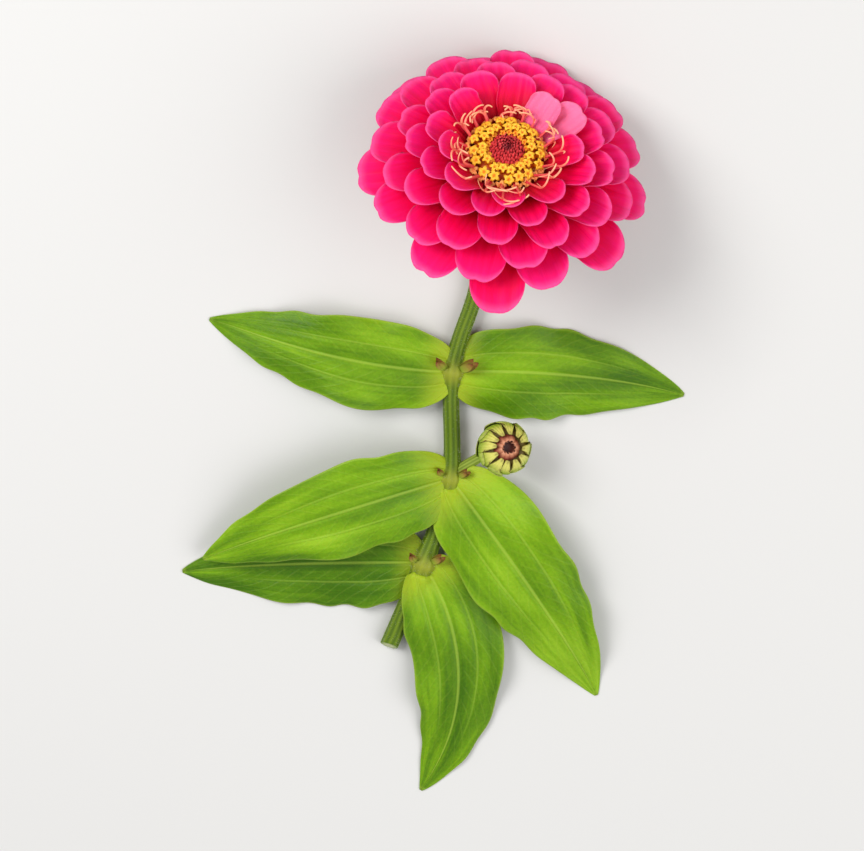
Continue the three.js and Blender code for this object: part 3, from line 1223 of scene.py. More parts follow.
@dataclass
class RayFlorets:
    """The petals: each next one is a golden angle on, shorter, narrower, steeper and rooted higher.

    Each pair of sizes holds the outermost petal's and the innermost one's. cupped is where a petal starts
    to be hollow and where it is fully so, ruffle_waves are the slow and the quick waves from foot to tip,
    and full_width_at is how far along it is as wide as its width. A stray is how far a petal may be from
    its rule. The waves and ruffle_shift are radians, and other angles are degrees.
    """

    finish: Finish = PETAL
    count: int = 60
    faces: tuple[int, int] = (20, 28)
    root_radius: float = 7.5
    roots: Pair = (2.2, 11.8)
    lengths: Pair = (35.7, 17.0)
    length_bias: float = 1.15
    widths: Pair = (16.2, 9.8)
    starts: Pair = (12, 55)
    ends: Pair = (-30, 18)
    cups: Pair = (0.10, 0.34)
    spoons: Pair = (0.8, 1.1)
    thickness: float = 0.36
    edge: float = 0.25
    foot_width: float = 0.3
    full_width_at: float = 0.65
    cupped: Pair = (0.15, 0.85)
    tip_depth: float = 0.24
    notch: float = 0.03
    notch_narrowness: float = 22
    ruffle: float = 0.2
    ruffle_waves: Pair = (15, 23)
    ruffle_shift: float = 9
    uneven: float = 0.35
    azimuth_stray: float = 3
    start_stray: float = 2
    end_stray: float = 5
    cup_stray: float = 0.06
    roll_stray: float = 4
    length_stray: float = 0.03
    width_stray: float = 0.05

    def build(self) -> None:
        """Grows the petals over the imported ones."""
        tree = GrowthTree("ray_florets")
        count = tree.count("Count", self.count)
        petals = tree.copies(tree.slab(*self.faces), count, "floret")
        u, v, k, upper = tree.kept("across", "along", "floret", "upper")
        inward = k / (count - 1)
        uneven = tree.size("Uneven", self.uneven)

        def between(name: str, pair: Pair, share: Value = inward) -> Value:
            """A size that changes from the outermost petal to the innermost, with an input for each."""
            return lerp(tree.size(f"Outer {name}", pair[0]), tree.size(f"Inner {name}", pair[1]), share)

        azimuth = k * GOLDEN_ANGLE + draw(k, PetalDraw.AZIMUTH) * (self.azimuth_stray * DEGREE)
        start = between("start", self.starts) + uneven * draw(k, PetalDraw.START) * self.start_stray
        end = between("end", self.ends) + uneven * draw(k, PetalDraw.END) * self.end_stray
        start, end = start * DEGREE, end * DEGREE
        length = between("length", self.lengths, inward**self.length_bias)
        length = length * (draw(k, PetalDraw.LENGTH) * self.length_stray + 1)
        half_width = between("width", self.widths) * 0.5 * (draw(k, PetalDraw.WIDTH) * self.width_stray + 1)
        cup = between("cup", self.cups) + uneven * draw(k, PetalDraw.CUP) * self.cup_stray

        bend = spread(u)
        notch = tree.math("EXPONENT", bend * bend * -self.notch_narrowness) * v**9
        notch = notch * (draw(k, PetalDraw.NOTCH) * 0.5 + 0.6) * tree.size("Notch", self.notch)
        reached = v - rounded(bend) * v**3 * self.tip_depth - notch
        slope = lerp(start, end, reached)
        sweep = length / (end - start)
        out = tree.size("Root radius", self.root_radius) + sweep * (sin(slope) - sin(start))
        up = between("root", self.roots) - sweep * (cos(slope) - cos(start))

        across = half_width * bend * lerp(self.foot_width, 1, smoothstep(v, 0, self.full_width_at))
        roll = sin(draw(k, PetalDraw.ROLL) * (self.roll_stray * DEGREE))
        lift = cup * bend * across * smoothstep(v, *self.cupped) + roll * across
        lift = lift + larger(v - 0.5, 0.0) ** 2 * half_width * between("spoon", self.spoons)
        slow = v * self.ruffle_waves[0] + draw(k, PetalDraw.SLOW_RUFFLE) * self.ruffle_shift
        quick = v * self.ruffle_waves[1] + bend * 2 + draw(k, PetalDraw.QUICK_RUFFLE) * self.ruffle_shift
        ruffle = sin(slow) * bend + sin(quick) * v * 0.6
        lift = lift + ruffle * bend * v * tree.size("Ruffle", self.ruffle)

        middle = HEAD.place(out - sin(slope) * lift, across, up + cos(slope) * lift, azimuth)
        facing = HEAD.direction(-sin(slope), cos(slope), azimuth)
        half = (upper - 0.5) * tree.size("Thickness", self.thickness) * thinned(u, self.edge)
        rest = (middle[0], middle[1], press(middle[2], PETAL_THICKNESS / 2 - FLATTENED))
        skin = [at + way * half for at, way in zip(rest, facing)]
        tree.finish(tree.move(petals, skin), self.finish.material())
        tree.grow("petals", Solid.RAY_FLORETS)


@dataclass
class Receptacle:
    """The core that the petals and florets stand on."""

    finish: Finish = CORE
    profile: Profile = ((0, 0.3), (9.2, 0.3), (10, 3), (10, 8), (9.4, 12), (8.4, 13.6), (7, 14), (0, 14))

    def build(self) -> None:
        """Turns the core."""
        Turning("receptacle", HEAD, self.profile).build(self.finish, Solid.RAY_FLORETS)


DISC_BASE = 14.3


def on_disc(profile: Profile) -> Profile:
    """A profile whose heights count from the disc's base, as one in the head's frame."""
    return tuple((radius, DISC_BASE + height) for radius, height in profile)


@dataclass(frozen=True)
class DiscRow:
    """A ring of open florets: how many, where they stand, their lean and length, and their stars' reach."""

    count: int
    radius: float
    height: float
    lean: float
    length: float
    reach: float


class DiscDraw(IntEnum):
    """The draws of an open floret, by their series in the first row. Each next row takes the next number."""

    LENGTH = 21
    ANGLE = 31
    LEAN = 41
    LOBES = 61


@dataclass
class DiscFlorets:
    """The open florets of the disc: tubes that end in stars of five lobes.

    lobe_depth is the share of a star's reach that is open between its lobes, and tube_share is how far up a
    floret its tube starts to flare. Angles are degrees.
    """

    finish: Finish = STAR
    rows: tuple[DiscRow, ...] = (
        DiscRow(17, 8.1, 0.8, 30, 4.0, 2.0),
        DiscRow(17, 6.9, 1.5, 4, 3.9, 1.7),
        DiscRow(20, 8.9, 0.1, 48, 3.6, 1.9),
        DiscRow(18, 6.25, 1.6, -14, 2.9, 1.15),
    )
    faces: tuple[int, int, int] = (20, 7, 3)
    lobes: int = 5
    lobe_depth: float = 0.52
    tube: float = 0.55
    tube_share: float = 0.66
    droop: float = 0.7
    throat: float = 0.9
    angle_stray: float = 4
    lean_stray: float = 7
    length_stray: float = 0.08
    collar: Profile = ((0, 0), (9, 0), (8.6, 1.8), (6.9, 2.4), (6.1, 2.0), (0, 1.2))

    def build(self) -> None:
        """Grows the florets and turns the collar that they stand in."""
        tree = GrowthTree("disc_florets")
        tube = tree.size("Tube radius", self.tube)
        rings = [self.ring(tree, tube, index, row) for index, row in enumerate(self.rows)]
        tree.finish(tree.joined(rings), self.finish.material())
        Turning("disc_collar", HEAD, on_disc(self.collar)).build(self.finish, Solid.DISC_FLORETS)
        tree.grow("disc_stars", Solid.DISC_FLORETS)

    def ring(self, tree: GrowthTree, tube: Value, index: int, row: DiscRow) -> bpy.types.NodeSocket:
        """Stands the florets of one row.

        Args:
            tree: The tree that grows them.
            tube: The radius of a tube.
            index: The row's number, from 0.
            row: Its sizes.

        Returns:
            The row's florets.
        """
        label = f"Row {index + 1}"
        count = tree.count(f"{label} count", row.count)
        florets = tree.copies(tree.rod(*self.faces), count, "floret")
        x, y, v, k = tree.kept("rod_x", "rod_y", "along", "floret")
        stray = draw(k, DiscDraw.ANGLE + index) * (self.angle_stray * DEGREE)
        angle = (k + 0.5 * index) * FULL_TURN / count + stray
        grown = draw(k, DiscDraw.LENGTH + index) * self.length_stray + 1
        length = grown * tree.size(f"{label} length", row.length)
        lean = (draw(k, DiscDraw.LEAN + index) * self.lean_stray + row.lean) * DEGREE
        spoke = larger((x * x + y * y) ** 0.5, ON_AXIS)
        turned = tree.math("ARCTAN2", y, x) * self.lobes + draw(k, DiscDraw.LOBES + index) * 3
        lobe = cos(turned) * 0.5 + 0.5
        reach = tree.size(f"{label} reach", row.reach)
        star = (lobe**0.7 * self.lobe_depth + (1 - self.lobe_depth)) * reach
        flare = smoothstep(v, self.tube_share, 1.0)
        wide = lerp(tube, star, flare * spoke**0.6)
        sunk = self.droop * lobe * spoke**3 + smoothstep(spoke, 0.0, 0.75, self.throat, 0.0)
        height = v * length - flare * sunk
        out = x * wide * cos(lean) + height * sin(lean) + row.radius
        up = height * cos(lean) - x * wide * sin(lean) + (DISC_BASE + row.height)
        return tree.move(tree.keep(florets, "row", float(index)), HEAD.place(out, y * wide, up, angle))


class ScaleDraw(IntEnum):
    """The draws of a scale, by their series."""

    LENGTH = 2
    CURL = 3


@dataclass
class DiscCentre:
    """The dome of florets still shut, under pointed scales.

    scales_sunk is how deep the roots of the scales are, and inset is how far inside the dome's edge the
    outermost one stands. fall is the share of the dome's height that it is lower than the innermost one. A
    scale at the edge leans out at its root, and curls in from there. Angles are radians.
    """

    finish: Finish = SCALE
    radius: float = 6.1
    foot: float = 0.3
    height: float = 4.2
    dome_sunk: float = 0.2
    dome_steps: int = 12
    scales: int = 150
    faces: tuple[int, int] = (4, 6)
    length: float = 2.6
    width: float = 1.5
    thickness: float = 0.25
    hollow: float = 0.35
    inset: float = 0.3
    scales_sunk: float = 0.8
    fall: float = 0.55
    lean_out: float = 0.35
    curl: float = 0.5
    curl_stray: float = 0.2
    length_stray: float = 0.15

    def build(self) -> None:
        """Turns the dome and grows the scales on it."""
        top = self.height - self.dome_sunk
        profile = [(0.0, self.foot)]
        for step in range(self.dome_steps):
            rise = math.pi / 2 * step / self.dome_steps
            height = self.foot + (top - self.foot) * math.sin(rise)
            profile.append((self.radius * math.cos(rise) ** 0.7, height))
        profile.append((0.0, top))
        Turning("dome", HEAD, on_disc(profile)).build(self.finish, Solid.DISC_CENTRE)
        self.grow_scales()

    def grow_scales(self) -> None:
        """Sets the scales in a golden spiral, upright in the middle and spread towards the edge."""
        tree = GrowthTree("disc_scales")
        count = tree.count("Count", self.scales)
        length, width = tree.size("Length", self.length), tree.size("Width", self.width)
        scales = tree.copies(tree.slab(*self.faces), count, "floret")
        u, v, k, upper = tree.kept("across", "along", "floret", "upper")
        share = ((k + 0.5) / count) ** 0.5
        curl = draw(k, ScaleDraw.CURL) * self.curl_stray + self.curl
        tilt = share * curl * v - share * self.lean_out
        reach = length * (draw(k, ScaleDraw.LENGTH) * self.length_stray + 1) * v
        across = width * 0.5 * u * (1 - v**3) * (v * 0.5 + 0.5)
        back = u * u * self.hollow * width + (upper - 0.5) * -self.thickness
        out = share * (self.radius - self.inset) - sin(tilt) * reach - back * 0.8
        up = cos(tilt) * reach + (1 - share**3 * self.fall) * self.height + (DISC_BASE - self.scales_sunk)
        place = HEAD.place(out, across, up, k * GOLDEN_ANGLE)
        tree.finish(tree.move(scales, place), self.finish.material())
        tree.grow("scales", Solid.DISC_CENTRE)


class StyleDraw(IntEnum):
    """The draws of a style and of its branches, by their series."""

    ANGLE = 2
    STALK = 3
    RISE = 6
    BRANCH = 7
    SIDE = 8
    CURL = 10
    PLANE = 11


@dataclass
class Styles:
    """The forked threads that curl out of the petals' feet round the disc.

    Those on the side of the head that is over the stem are longer and flatter, by the sizes named near.
    foot is how far from the axis and how high over the disc's base they leave the head, rise is their angle
    up from there, and plane is the angle at which the fork is turned out of level. Angles are radians.
    """

    finish: Finish = STYLE
    count: int = 34
    faces: tuple[int, int] = (8, 22)
    foot: Pair = (9.2, 0.6)
    thickness: float = 0.4
    taper: float = 0.45
    stalk: float = 4.2
    near_stalk: float = 1.3
    branch: float = 5.0
    near_branch: float = 0.3
    curl: float = 1.9
    fork_at: float = 0.42
    rise: float = 0.9
    near_rise: float = -0.15
    plane: float = 0.65
    droop: float = 0.9
    angle_stray: float = 0.12
    rise_stray: float = 0.16
    stalk_stray: float = 0.3
    branch_stray: float = 0.22
    curl_stray: float = 0.3
    plane_stray: float = 0.5
    side_stray: float = 2.6

    def build(self) -> None:
        """Grows two branches a style, which share its stalk and curl apart."""
        tree = GrowthTree("styles")
        count, thick = tree.count("Count", self.count), tree.size("Thickness", self.thickness)
        threads = tree.copies(tree.rod(*self.faces), count * 2, "branch")
        x, y, v, k = tree.kept("rod_x", "rod_y", "along", "branch")
        style = tree.math("FLOOR", k * 0.5)
        turn = (k - style * 2) * 2 - 1
        angle = style * FULL_TURN / count + draw(style, StyleDraw.ANGLE) * self.angle_stray
        near = 0.5 - sin(angle) * 0.5
        rise = draw(style, StyleDraw.RISE) * self.rise_stray + self.rise + near * self.near_rise

        stalk = draw(style, StyleDraw.STALK) * self.stalk_stray + 1 + near * self.near_stalk
        stalk = stalk * tree.size("Stalk", self.stalk)
        branch = draw(k, StyleDraw.BRANCH) * self.branch_stray + 1 + near * self.near_branch
        branch = branch * tree.size("Branch", self.branch)
        curl = (draw(k, StyleDraw.CURL) * self.curl_stray + 1) * tree.size("Curl", self.curl)
        past = larger(v - self.fork_at, 0.0) / (1 - self.fork_at)
        before = 1 - larger(self.fork_at - v, 0.0) / self.fork_at
        bow = past * curl
        plane = draw(k, StyleDraw.PLANE) * self.plane_stray + self.plane
        radius = (1 - v * self.taper) * thick
        ahead = stalk * before + branch * sin(bow) / curl - sin(bow) * x * radius * turn
        aside = (1 - cos(bow)) / curl * branch * turn + cos(bow) * x * radius
        leaning = draw(style, StyleDraw.SIDE) * v * v * self.side_stray
        side = aside * cos(plane) - y * radius * sin(plane) + leaning
        above = aside * sin(plane) * turn + y * radius * cos(plane)
        foot_radius, foot_height = self.foot
        out = ahead * cos(rise) - above * sin(rise) + foot_radius
        up = ahead * sin(rise) + above * cos(rise) - v * v * self.droop + (DISC_BASE + foot_height)
        tree.finish(tree.move(threads, HEAD.place(out, side, up, angle)), self.finish.material())
        tree.grow("styles", Solid.RAY_FLORETS)


# ---------------------------------------------------------------- involucre and bud
INVOLUCRE_RADIUS = 10.0
INVOLUCRE_TAPER = 6.3
TAPERED_DEPTHS = (3.0, 18.0)
BUD_RADIUS = 8.0
BUD_SLIMNESS = 0.93
BUD_MOUTH = 0.2
BRACT_DRAW = 53


def involucre_radius(z: Value) -> Value:
    """Radius of the involucre at a height in the head's frame."""
    return INVOLUCRE_RADIUS - smoothstep(-z, *TAPERED_DEPTHS) * INVOLUCRE_TAPER


def bud_radius(z: Value) -> Value:
    """Radius of the bud at a height in its own frame."""
    return larger(BUD_RADIUS**2 - z * z, BUD_MOUTH * BUD_RADIUS**2) ** 0.5 * BUD_SLIMNESS


def of_bud(shares: Profile) -> Profile:
    """A profile given as shares of the bud's radius, in millimetres."""
    return tuple((radius * BUD_RADIUS, height * BUD_RADIUS) for radius, height in shares)


@dataclass(frozen=True)
class BractRow:
    """A ring of bracts: how many, how high they are rooted, and their size against the others."""

    count: int
    height: float
    share: float


@dataclass
class Bracts:
    """Rows of overlapping bracts round an axis, which stand a little off it towards their tips.

    tuck is how far one edge of a bract stands out over the next one, and the other edge in under it, and
    hug is how far in both of them are. sunk is how deep its root is. tip_depth, foot_width and taper are
    shares of its length and width, and angle_stray is degrees.
    """

    name: str
    finish: Finish
    own_frame: OwnFrame
    rows: tuple[BractRow, ...]
    radius_at: Callable[[Value], Value]
    length: float
    width: float
    faces: tuple[int, int] = (12, 14)
    thickness: float = 0.4
    edge: float = 0.3
    tip_depth: float = 0.3
    foot_width: float = 0.8
    taper: float = 0.12
    stand_off: float = 1.0
    sunk: float = 0.6
    hug: float = 0.1
    tuck: float = 0.3
    angle_stray: float = 4

    def build(self) -> None:
        """Grows the bracts."""
        tree = GrowthTree(self.name)
        length, width = tree.size("Length", self.length), tree.size("Width", self.width)
        thickness, taper = tree.size("Thickness", self.thickness), tree.size("Taper", self.taper)
        stand_off, tuck = tree.size("Stand off", self.stand_off), tree.size("Tuck", self.tuck)
        rings = []
        for index, row in enumerate(self.rows):
            count = tree.count(f"Count {index + 1}", row.count)
            height = tree.size(f"Height {index + 1}", row.height)
            share = tree.size(f"Share {index + 1}", row.share)
            ring = tree.copies(tree.slab(*self.faces), count, "bract")
            u, v, k, upper = tree.kept("across", "along", "bract", "upper")
            stray = draw(k, BRACT_DRAW + index) * (self.angle_stray * DEGREE)
            azimuth = (k + 0.5 * (index % 2)) * FULL_TURN / count + stray
            bend = spread(u)
            z = height + length * share * (v - rounded(bend) * v**2 * self.tip_depth)
            half_width = width * share * 0.5 * lerp(self.foot_width, 1, smoothstep(v, 0, 0.5))
            half_width = half_width * (1 - v**3 * taper)
            skin = (upper - 0.5) * thickness * thinned(u, self.edge)
            off = v**0.5 * (stand_off + self.sunk) - self.sunk - bend * bend * self.hug + bend * tuck
            radius = self.radius_at(z) + off - skin
            place = self.own_frame.place(radius, 0.0, z, azimuth + half_width * bend / radius)
            rings.append(tree.move(ring, place))
        tree.finish(tree.joined(rings), self.finish.material())
        tree.grow(self.name, Solid.LEAFY_STEM)


@dataclass
class Involucre:
    """The green cup under the petals, and its bracts."""

    finish: Finish = CUP
    bract: Finish = BRACT
    profile: Profile = (
        (0, -16), (3.7, -16), (6.4, -13.2), (8.8, -9), (9.9, -5), (10, -1.5), (9.3, 0), (0, 0)
    )
    rows: tuple[BractRow, ...] = (BractRow(7, -15, 0.8), BractRow(8, -11.8, 0.95), BractRow(8, -7.8, 1.05))
    length: float = 7.4
    width: float = 6.8

    def build(self) -> None:
        """Turns the cup and grows its bracts."""
        Turning("involucre", HEAD, self.profile).build(self.finish, Solid.LEAFY_STEM)
        Bracts(
            "involucre_bracts", self.bract, HEAD, self.rows, involucre_radius, self.length, self.width
        ).build()


class MouthDraw(IntEnum):
    """The draws of a folded floret, by their series."""

    ANGLE = 2
    OUT = 3
    LENGTH = 6


@dataclass
class Bud:
    """The side bud: its cup, its bracts, and the folded florets in its mouth.

    A folded floret starts at floret_foot, its radius and height in the bud's frame, and its tip comes in by
    closing and its edges by folding. angle_stray is radians.
    """

    cup: Finish = BUD_CUP
    bract: Finish = BUD_BRACT
    tip: Finish = BUD_TIP
    floret: Finish = FOLDED
    profile: Profile = of_bud((
        (0, -1), (0.3, -1), (0.66, -0.72), (0.9, -0.3), (0.93, 0.1), (0.78, 0.45), (0.6, 0.55), (0, 0.4)
    ))
    lower: tuple[BractRow, ...] = (
        BractRow(5, -0.78 * BUD_RADIUS, 0.9), BractRow(7, -0.42 * BUD_RADIUS, 1.05)
    )
    tips: tuple[BractRow, ...] = (BractRow(12, -0.2 * BUD_RADIUS, 1.36),)
    bract_length: float = 6.6
    bract_width: float = 5.6
    bract_thickness: float = 0.3
    tip_width: float = 3.6
    tip_taper: float = 0.5
    stand_off: float = 0.7
    middle: Profile = ((0, 3.6), (3.4, 3.6), (3.3, 4.8), (2.2, 4.9), (0, 4.6))
    florets: int = 11
    floret_faces: tuple[int, int] = (8, 10)
    floret_length: float = 3.4
    floret_width: float = 2.7
    floret_taper: float = 0.45
    floret_tip_depth: float = 0.12
    floret_thickness: float = 0.3
    floret_foot: Pair = (3.95, 0.4 * BUD_RADIUS + 0.4)
    closing: float = 1.9
    folding: float = 0.75
    out_stray: float = 0.2
    length_stray: float = 0.1
    angle_stray: float = 0.06

    def build(self) -> None:
        """Turns the cup, grows its bracts, then the florets in its mouth."""
        Turning("bud_cup", BUD, self.profile).build(self.cup, Solid.LEAFY_STEM)
        Bracts(
            "bud_bracts", self.bract, BUD, self.lower, bud_radius, self.bract_length, self.bract_width,
            thickness=self.bract_thickness, stand_off=self.stand_off,
        ).build()
        Bracts(
            "bud_tips", self.tip, BUD, self.tips, bud_radius, self.bract_length, self.tip_width,
            taper=self.tip_taper, stand_off=self.stand_off,
        ).build()
        Turning("bud_middle", BUD, self.middle).build(self.floret, Solid.BUD_FLORETS)
        self.grow_mouth()

    def grow_mouth(self) -> None:
        """Grows the folded florets round the bud's dark middle."""
        tree = GrowthTree("bud_florets")
        count = tree.count("Count", self.florets)
        length, width = tree.size("Length", self.floret_length), tree.size("Width", self.floret_width)
        florets = tree.copies(tree.slab(*self.floret_faces), count, "floret")
        u, v, k, upper = tree.kept("across", "along", "floret", "upper")
        bend, (foot_radius, foot_height) = spread(u), self.floret_foot
        out = foot_radius - v * v * self.closing - bend * bend * self.folding
        out = out - (upper - 0.5) * self.floret_thickness + draw(k, MouthDraw.OUT) * self.out_stray
        up = length * (v - bend * bend * v * v * self.floret_tip_depth)
        up = up * (draw(k, MouthDraw.LENGTH) * self.length_stray + 1) + foot_height
        angle = k * FULL_TURN / count + draw(k, MouthDraw.ANGLE) * self.angle_stray
        place = BUD.place(out, width * 0.5 * bend * (1 - v**3 * self.floret_taper), up, angle)
        tree.finish(tree.move(florets, place), self.floret.material())
        tree.grow("bud_mouth", Solid.BUD_FLORETS)


# ---------------------------------------------------------------- leaves and stem
@dataclass(frozen=True)
class LeafShape:
    """One leaf: its node, the way it sets out and swings round, its size, its bends, and its tone.

    over is 1 for a leaf that lies over the stem below its node, and 0 for one that doesn't. Angles are
    degrees.
    """

    node: int
    heading: float
    turn: float
    length: float
    width: float
    start: float
    end: float
    arch: float
    fold: float
    roll: float
    tone: float
    over: float = 0.0


LEAVES = (
    LeafShape(0, 174, -12, 74, 27, 4.2, -1.5, 5, 0.2, 4, 0.0),
    LeafShape(0, 2, -18, 70, 28, 4, -1.5, 1.6, 0.14, -3, -0.3),
    LeafShape(1, 190, 18, 79, 29, 4.5, 4.6, 8, 0.2, -5, 0.45),
    LeafShape(1, -50, -16, 84, 32, 4.5, -1.5, 9.5, 0.16, 5, 0.7, over=1.0),
    LeafShape(2, 180, 6, 73, 28, 3.4, -1.5, 0.6, 0.1, 2, -1.0),
    LeafShape(2, -58, -66, 79, 28, 4.4, -1.5, 3.5, 0.14, -3, -0.2, over=1.0),
)


@dataclass(frozen=True)
class StemPoint:
    """A point of the stem's middle line, and the stem's radius there."""

    at: Triple
    radius: float


STEM = (
    StemPoint((-1.3, -9.3, 15.6), 4.0),
    StemPoint((-2.2, -15.5, 10.0), 3.4),
    StemPoint((-3.8, -26.0, 5.2), 2.7),
    StemPoint((-7.0, -41.0, 3.4), 2.3),
    StemPoint((-13.5, -64.0, 3.3), 2.4),
    StemPoint((-14.0, -97.0, 3.5), 2.5),
    StemPoint((-22.0, -124.0, 3.6), 2.7),
    StemPoint((-33.0, -152.0, 2.6), 2.7),
)
NODE_POINTS = (4, 5, 6)
NODE_SWELLING = 0.8
NODE_SPAN = 4.5
COLLAR = 0.35
COLLAR_SPAN = 1.1
PALE_SPAN = 3.0


def catmull_rom(points: Sequence[Vector], where: float) -> Vector:
    """Follows the smooth curve through some points.

    Args:
        points: The points.
        where: How far along the curve: whole numbers are the points themselves.

    Returns:
        The place on the curve.
    """
    k = min(int(where), len(points) - 2)
    t = where - k
    before = points[k - 1] if k else points[0] * 2 - points[1]
    after = points[k + 2] if k + 2 < len(points) else points[-1] * 2 - points[-2]
    leave, arrive = (points[k + 1] - before) / 2, (after - points[k]) / 2
    return (
        points[k] * (2 * t**3 - 3 * t**2 + 1)
        + leave * (t**3 - 2 * t**2 + t)
        + points[k + 1] * (3 * t**2 - 2 * t**3)
        + arrive * (t**3 - t**2)
    )


@dataclass
class Leaves:
    """The three pairs of leaves.

    grown is the share of a leaf's outline that is there, short of its point. The outline rises from a base
    that is a little blunt, and falls to the tip, by a power each, and widest is what that comes to where it
    is widest. scallops are the small bends of its edge from base to tip, in radians, which come closer and
    wider apart with the beat. waves are the large ones, in full turns, and wave and scallop are how deep
    they are. halves_apart is how far the waves of one half are from those of the other. clearance is how
    far a leaf that lies over the stem stays off it, and over_from is how far below the node it starts to,
    and has done so.
    """

    finish: Finish = LEAF
    shapes: tuple[LeafShape, ...] = LEAVES
    faces: tuple[int, int] = (56, 110)
    thickness: float = 0.45
    edge: float = 0.3
    grown: float = 0.992
    lateral_at: float = LATERAL_VEIN
    groove: float = 0.5
    side_groove: float = 0.3
    blunt: float = 0.02
    base_power: float = 0.42
    tip_power: float = 0.85
    widest: float = 0.457
    waves: float = 2.4
    wave: float = 0.1
    scallops: float = 29
    scallop: float = 0.03
    beat: Pair = (9, 1.5)
    halves_apart: float = 3.4
    frill: float = 0.6
    fold_fade: Pair = (0.7, 0.4)
    sag: float = 0.12
    phase: float = 2.4
    clearance: float = 0.6
    over_from: Pair = (1.0, 3.5)
    below: float = 0.25

    def build(self) -> None:
        """Grows each leaf over its packed one, from one tree."""
        tree = GrowthTree("leaf")
        number = {name: tree.size(name, value) for name, value in self.sizes(0).items()}
        tree.finish(self.blade(tree, number), self.finish.material())
        for index in range(len(self.shapes)):
            tree.grow(f"leaf_{index + 1}", Solid.LEAFY_STEM, values=self.sizes(index))

    def sizes(self, index: int) -> dict[str, float]:
        """The values of the tree's inputs for one leaf.

        Args:
            index: The leaf's number, from 0.

        Returns:
            Its own sizes, where it starts, and the stem below its node.
        """
        shape = asdict(self.shapes[index])
        point = NODE_POINTS[shape.pop("node")]
        places = [Vector(spot.at) for spot in STEM]
        at, ahead = places[point], catmull_rom(places, point + self.below)
        below = (ahead - at).xy.normalized()
        return {name.capitalize(): float(value) for name, value in shape.items()} | {
            "Phase": self.phase * index, "Base X": at.x, "Base Y": at.y, "Stem X": below.x, "Stem Y": below.y,
            "Stem height": at.z, "Stem radius": STEM[point].radius + self.clearance,
        }

    def blade(self, tree: GrowthTree, number: dict[str, Value]) -> bpy.types.NodeSocket:
        """The shape of a leaf.

        Args:
            tree: The tree that grows it.
            number: The leaf's sizes, bends and phase.

        Returns:
            The leaf.
        """
        blade = tree.keep(tree.slab(*self.faces), "tone", number["Tone"])
        u, v, upper = tree.kept("across", "along", "upper")
        share, reach = v * self.grown, size_of(u)
        phase, past_middle = number["Phase"], tree.math("GREATER_THAN", u, 0.0)
        beating = sin(share * self.beat[0] + phase) * self.beat[1]
        waver = share * self.scallops + beating + phase * 3 + past_middle * self.halves_apart

        heading, turn = number["Heading"] * DEGREE, number["Turn"] * DEGREE
        half_turn = turn * share * 0.5 + STRAIGHT
        chord = number["Length"] * share * sin(half_turn) / half_turn
        ahead = heading + half_turn
        facing = ahead + half_turn
        outline = (share + self.blunt) ** self.base_power * (1 - share) ** self.tip_power / self.widest
        scallop = sin(waver + 1.2) * u * u * self.scallop * smoothstep(share, 0.05, 0.25) + 1
        side = number["Width"] * 0.5 * outline * u * scallop
        x, y = chord * cos(ahead) - side * sin(facing), chord * sin(ahead) + side * cos(facing)

        fold, gone = number["Fold"], size_of(side)
        gull = gone * (fold * (self.fold_fade[0] - self.fold_fade[1] * share) - reach * self.sag)
        waving = share * (FULL_TURN * self.waves) + phase + past_middle * (self.halves_apart / 2)
        wave = gone * reach * sin(waving) * self.wave
        bow = number["Arch"] * sin(share**0.85 * math.pi)
        z = lerp(number["Start"], number["End"], share) + bow + gull + wave
        z = press(z + side * sin(number["Roll"] * DEGREE), self.lowest(number, x, y))

        groove = smoothstep(reach, 0.0, 0.08, -self.groove, 0.0) * (1 - share * 0.6)
        beside = smoothstep(size_of(reach - self.lateral_at), 0.0, 0.09, -self.side_groove, 0.0)
        frill = sin(waver) * u**4 * self.frill * (1 - share) * smoothstep(share, 0.03, 0.2)
        skin = (upper - 0.5) * tree.size("Thickness", self.thickness) * thinned(u, self.edge, power=6)
        lift = skin + groove + beside * smoothstep(share, 0.5, 0.9, 1, 0) + frill
        return tree.move(blade, (number["Base X"] + x, number["Base Y"] + y, larger(z + lift, 0.0)))

    def lowest(self, number: dict[str, Value], x: Value, y: Value) -> Value:
        """How low a leaf may lie: on the surface, or on the stem below its node where it lies over it.

        Args:
            number: The leaf's sizes.
            x: How far a point is from the node along the surface's X.
            y: How far it is from the node along Y.

        Returns:
            The height.
        """
        down = x * number["Stem X"] + y * number["Stem Y"]
        off = y * number["Stem X"] - x * number["Stem Y"]
        swelling = down.nodes.math("EXPONENT", -((down / NODE_SPAN) * (down / NODE_SPAN))) * NODE_SWELLING
        radius = number["Stem radius"] + swelling
        ridge = number["Stem height"] + radius - off * off / (radius * 2)
        ridden = ridge * smoothstep(down, *self.over_from) * number["Over"]
        return larger(ridden, LEAF_THICKNESS / 2 - FLATTENED)


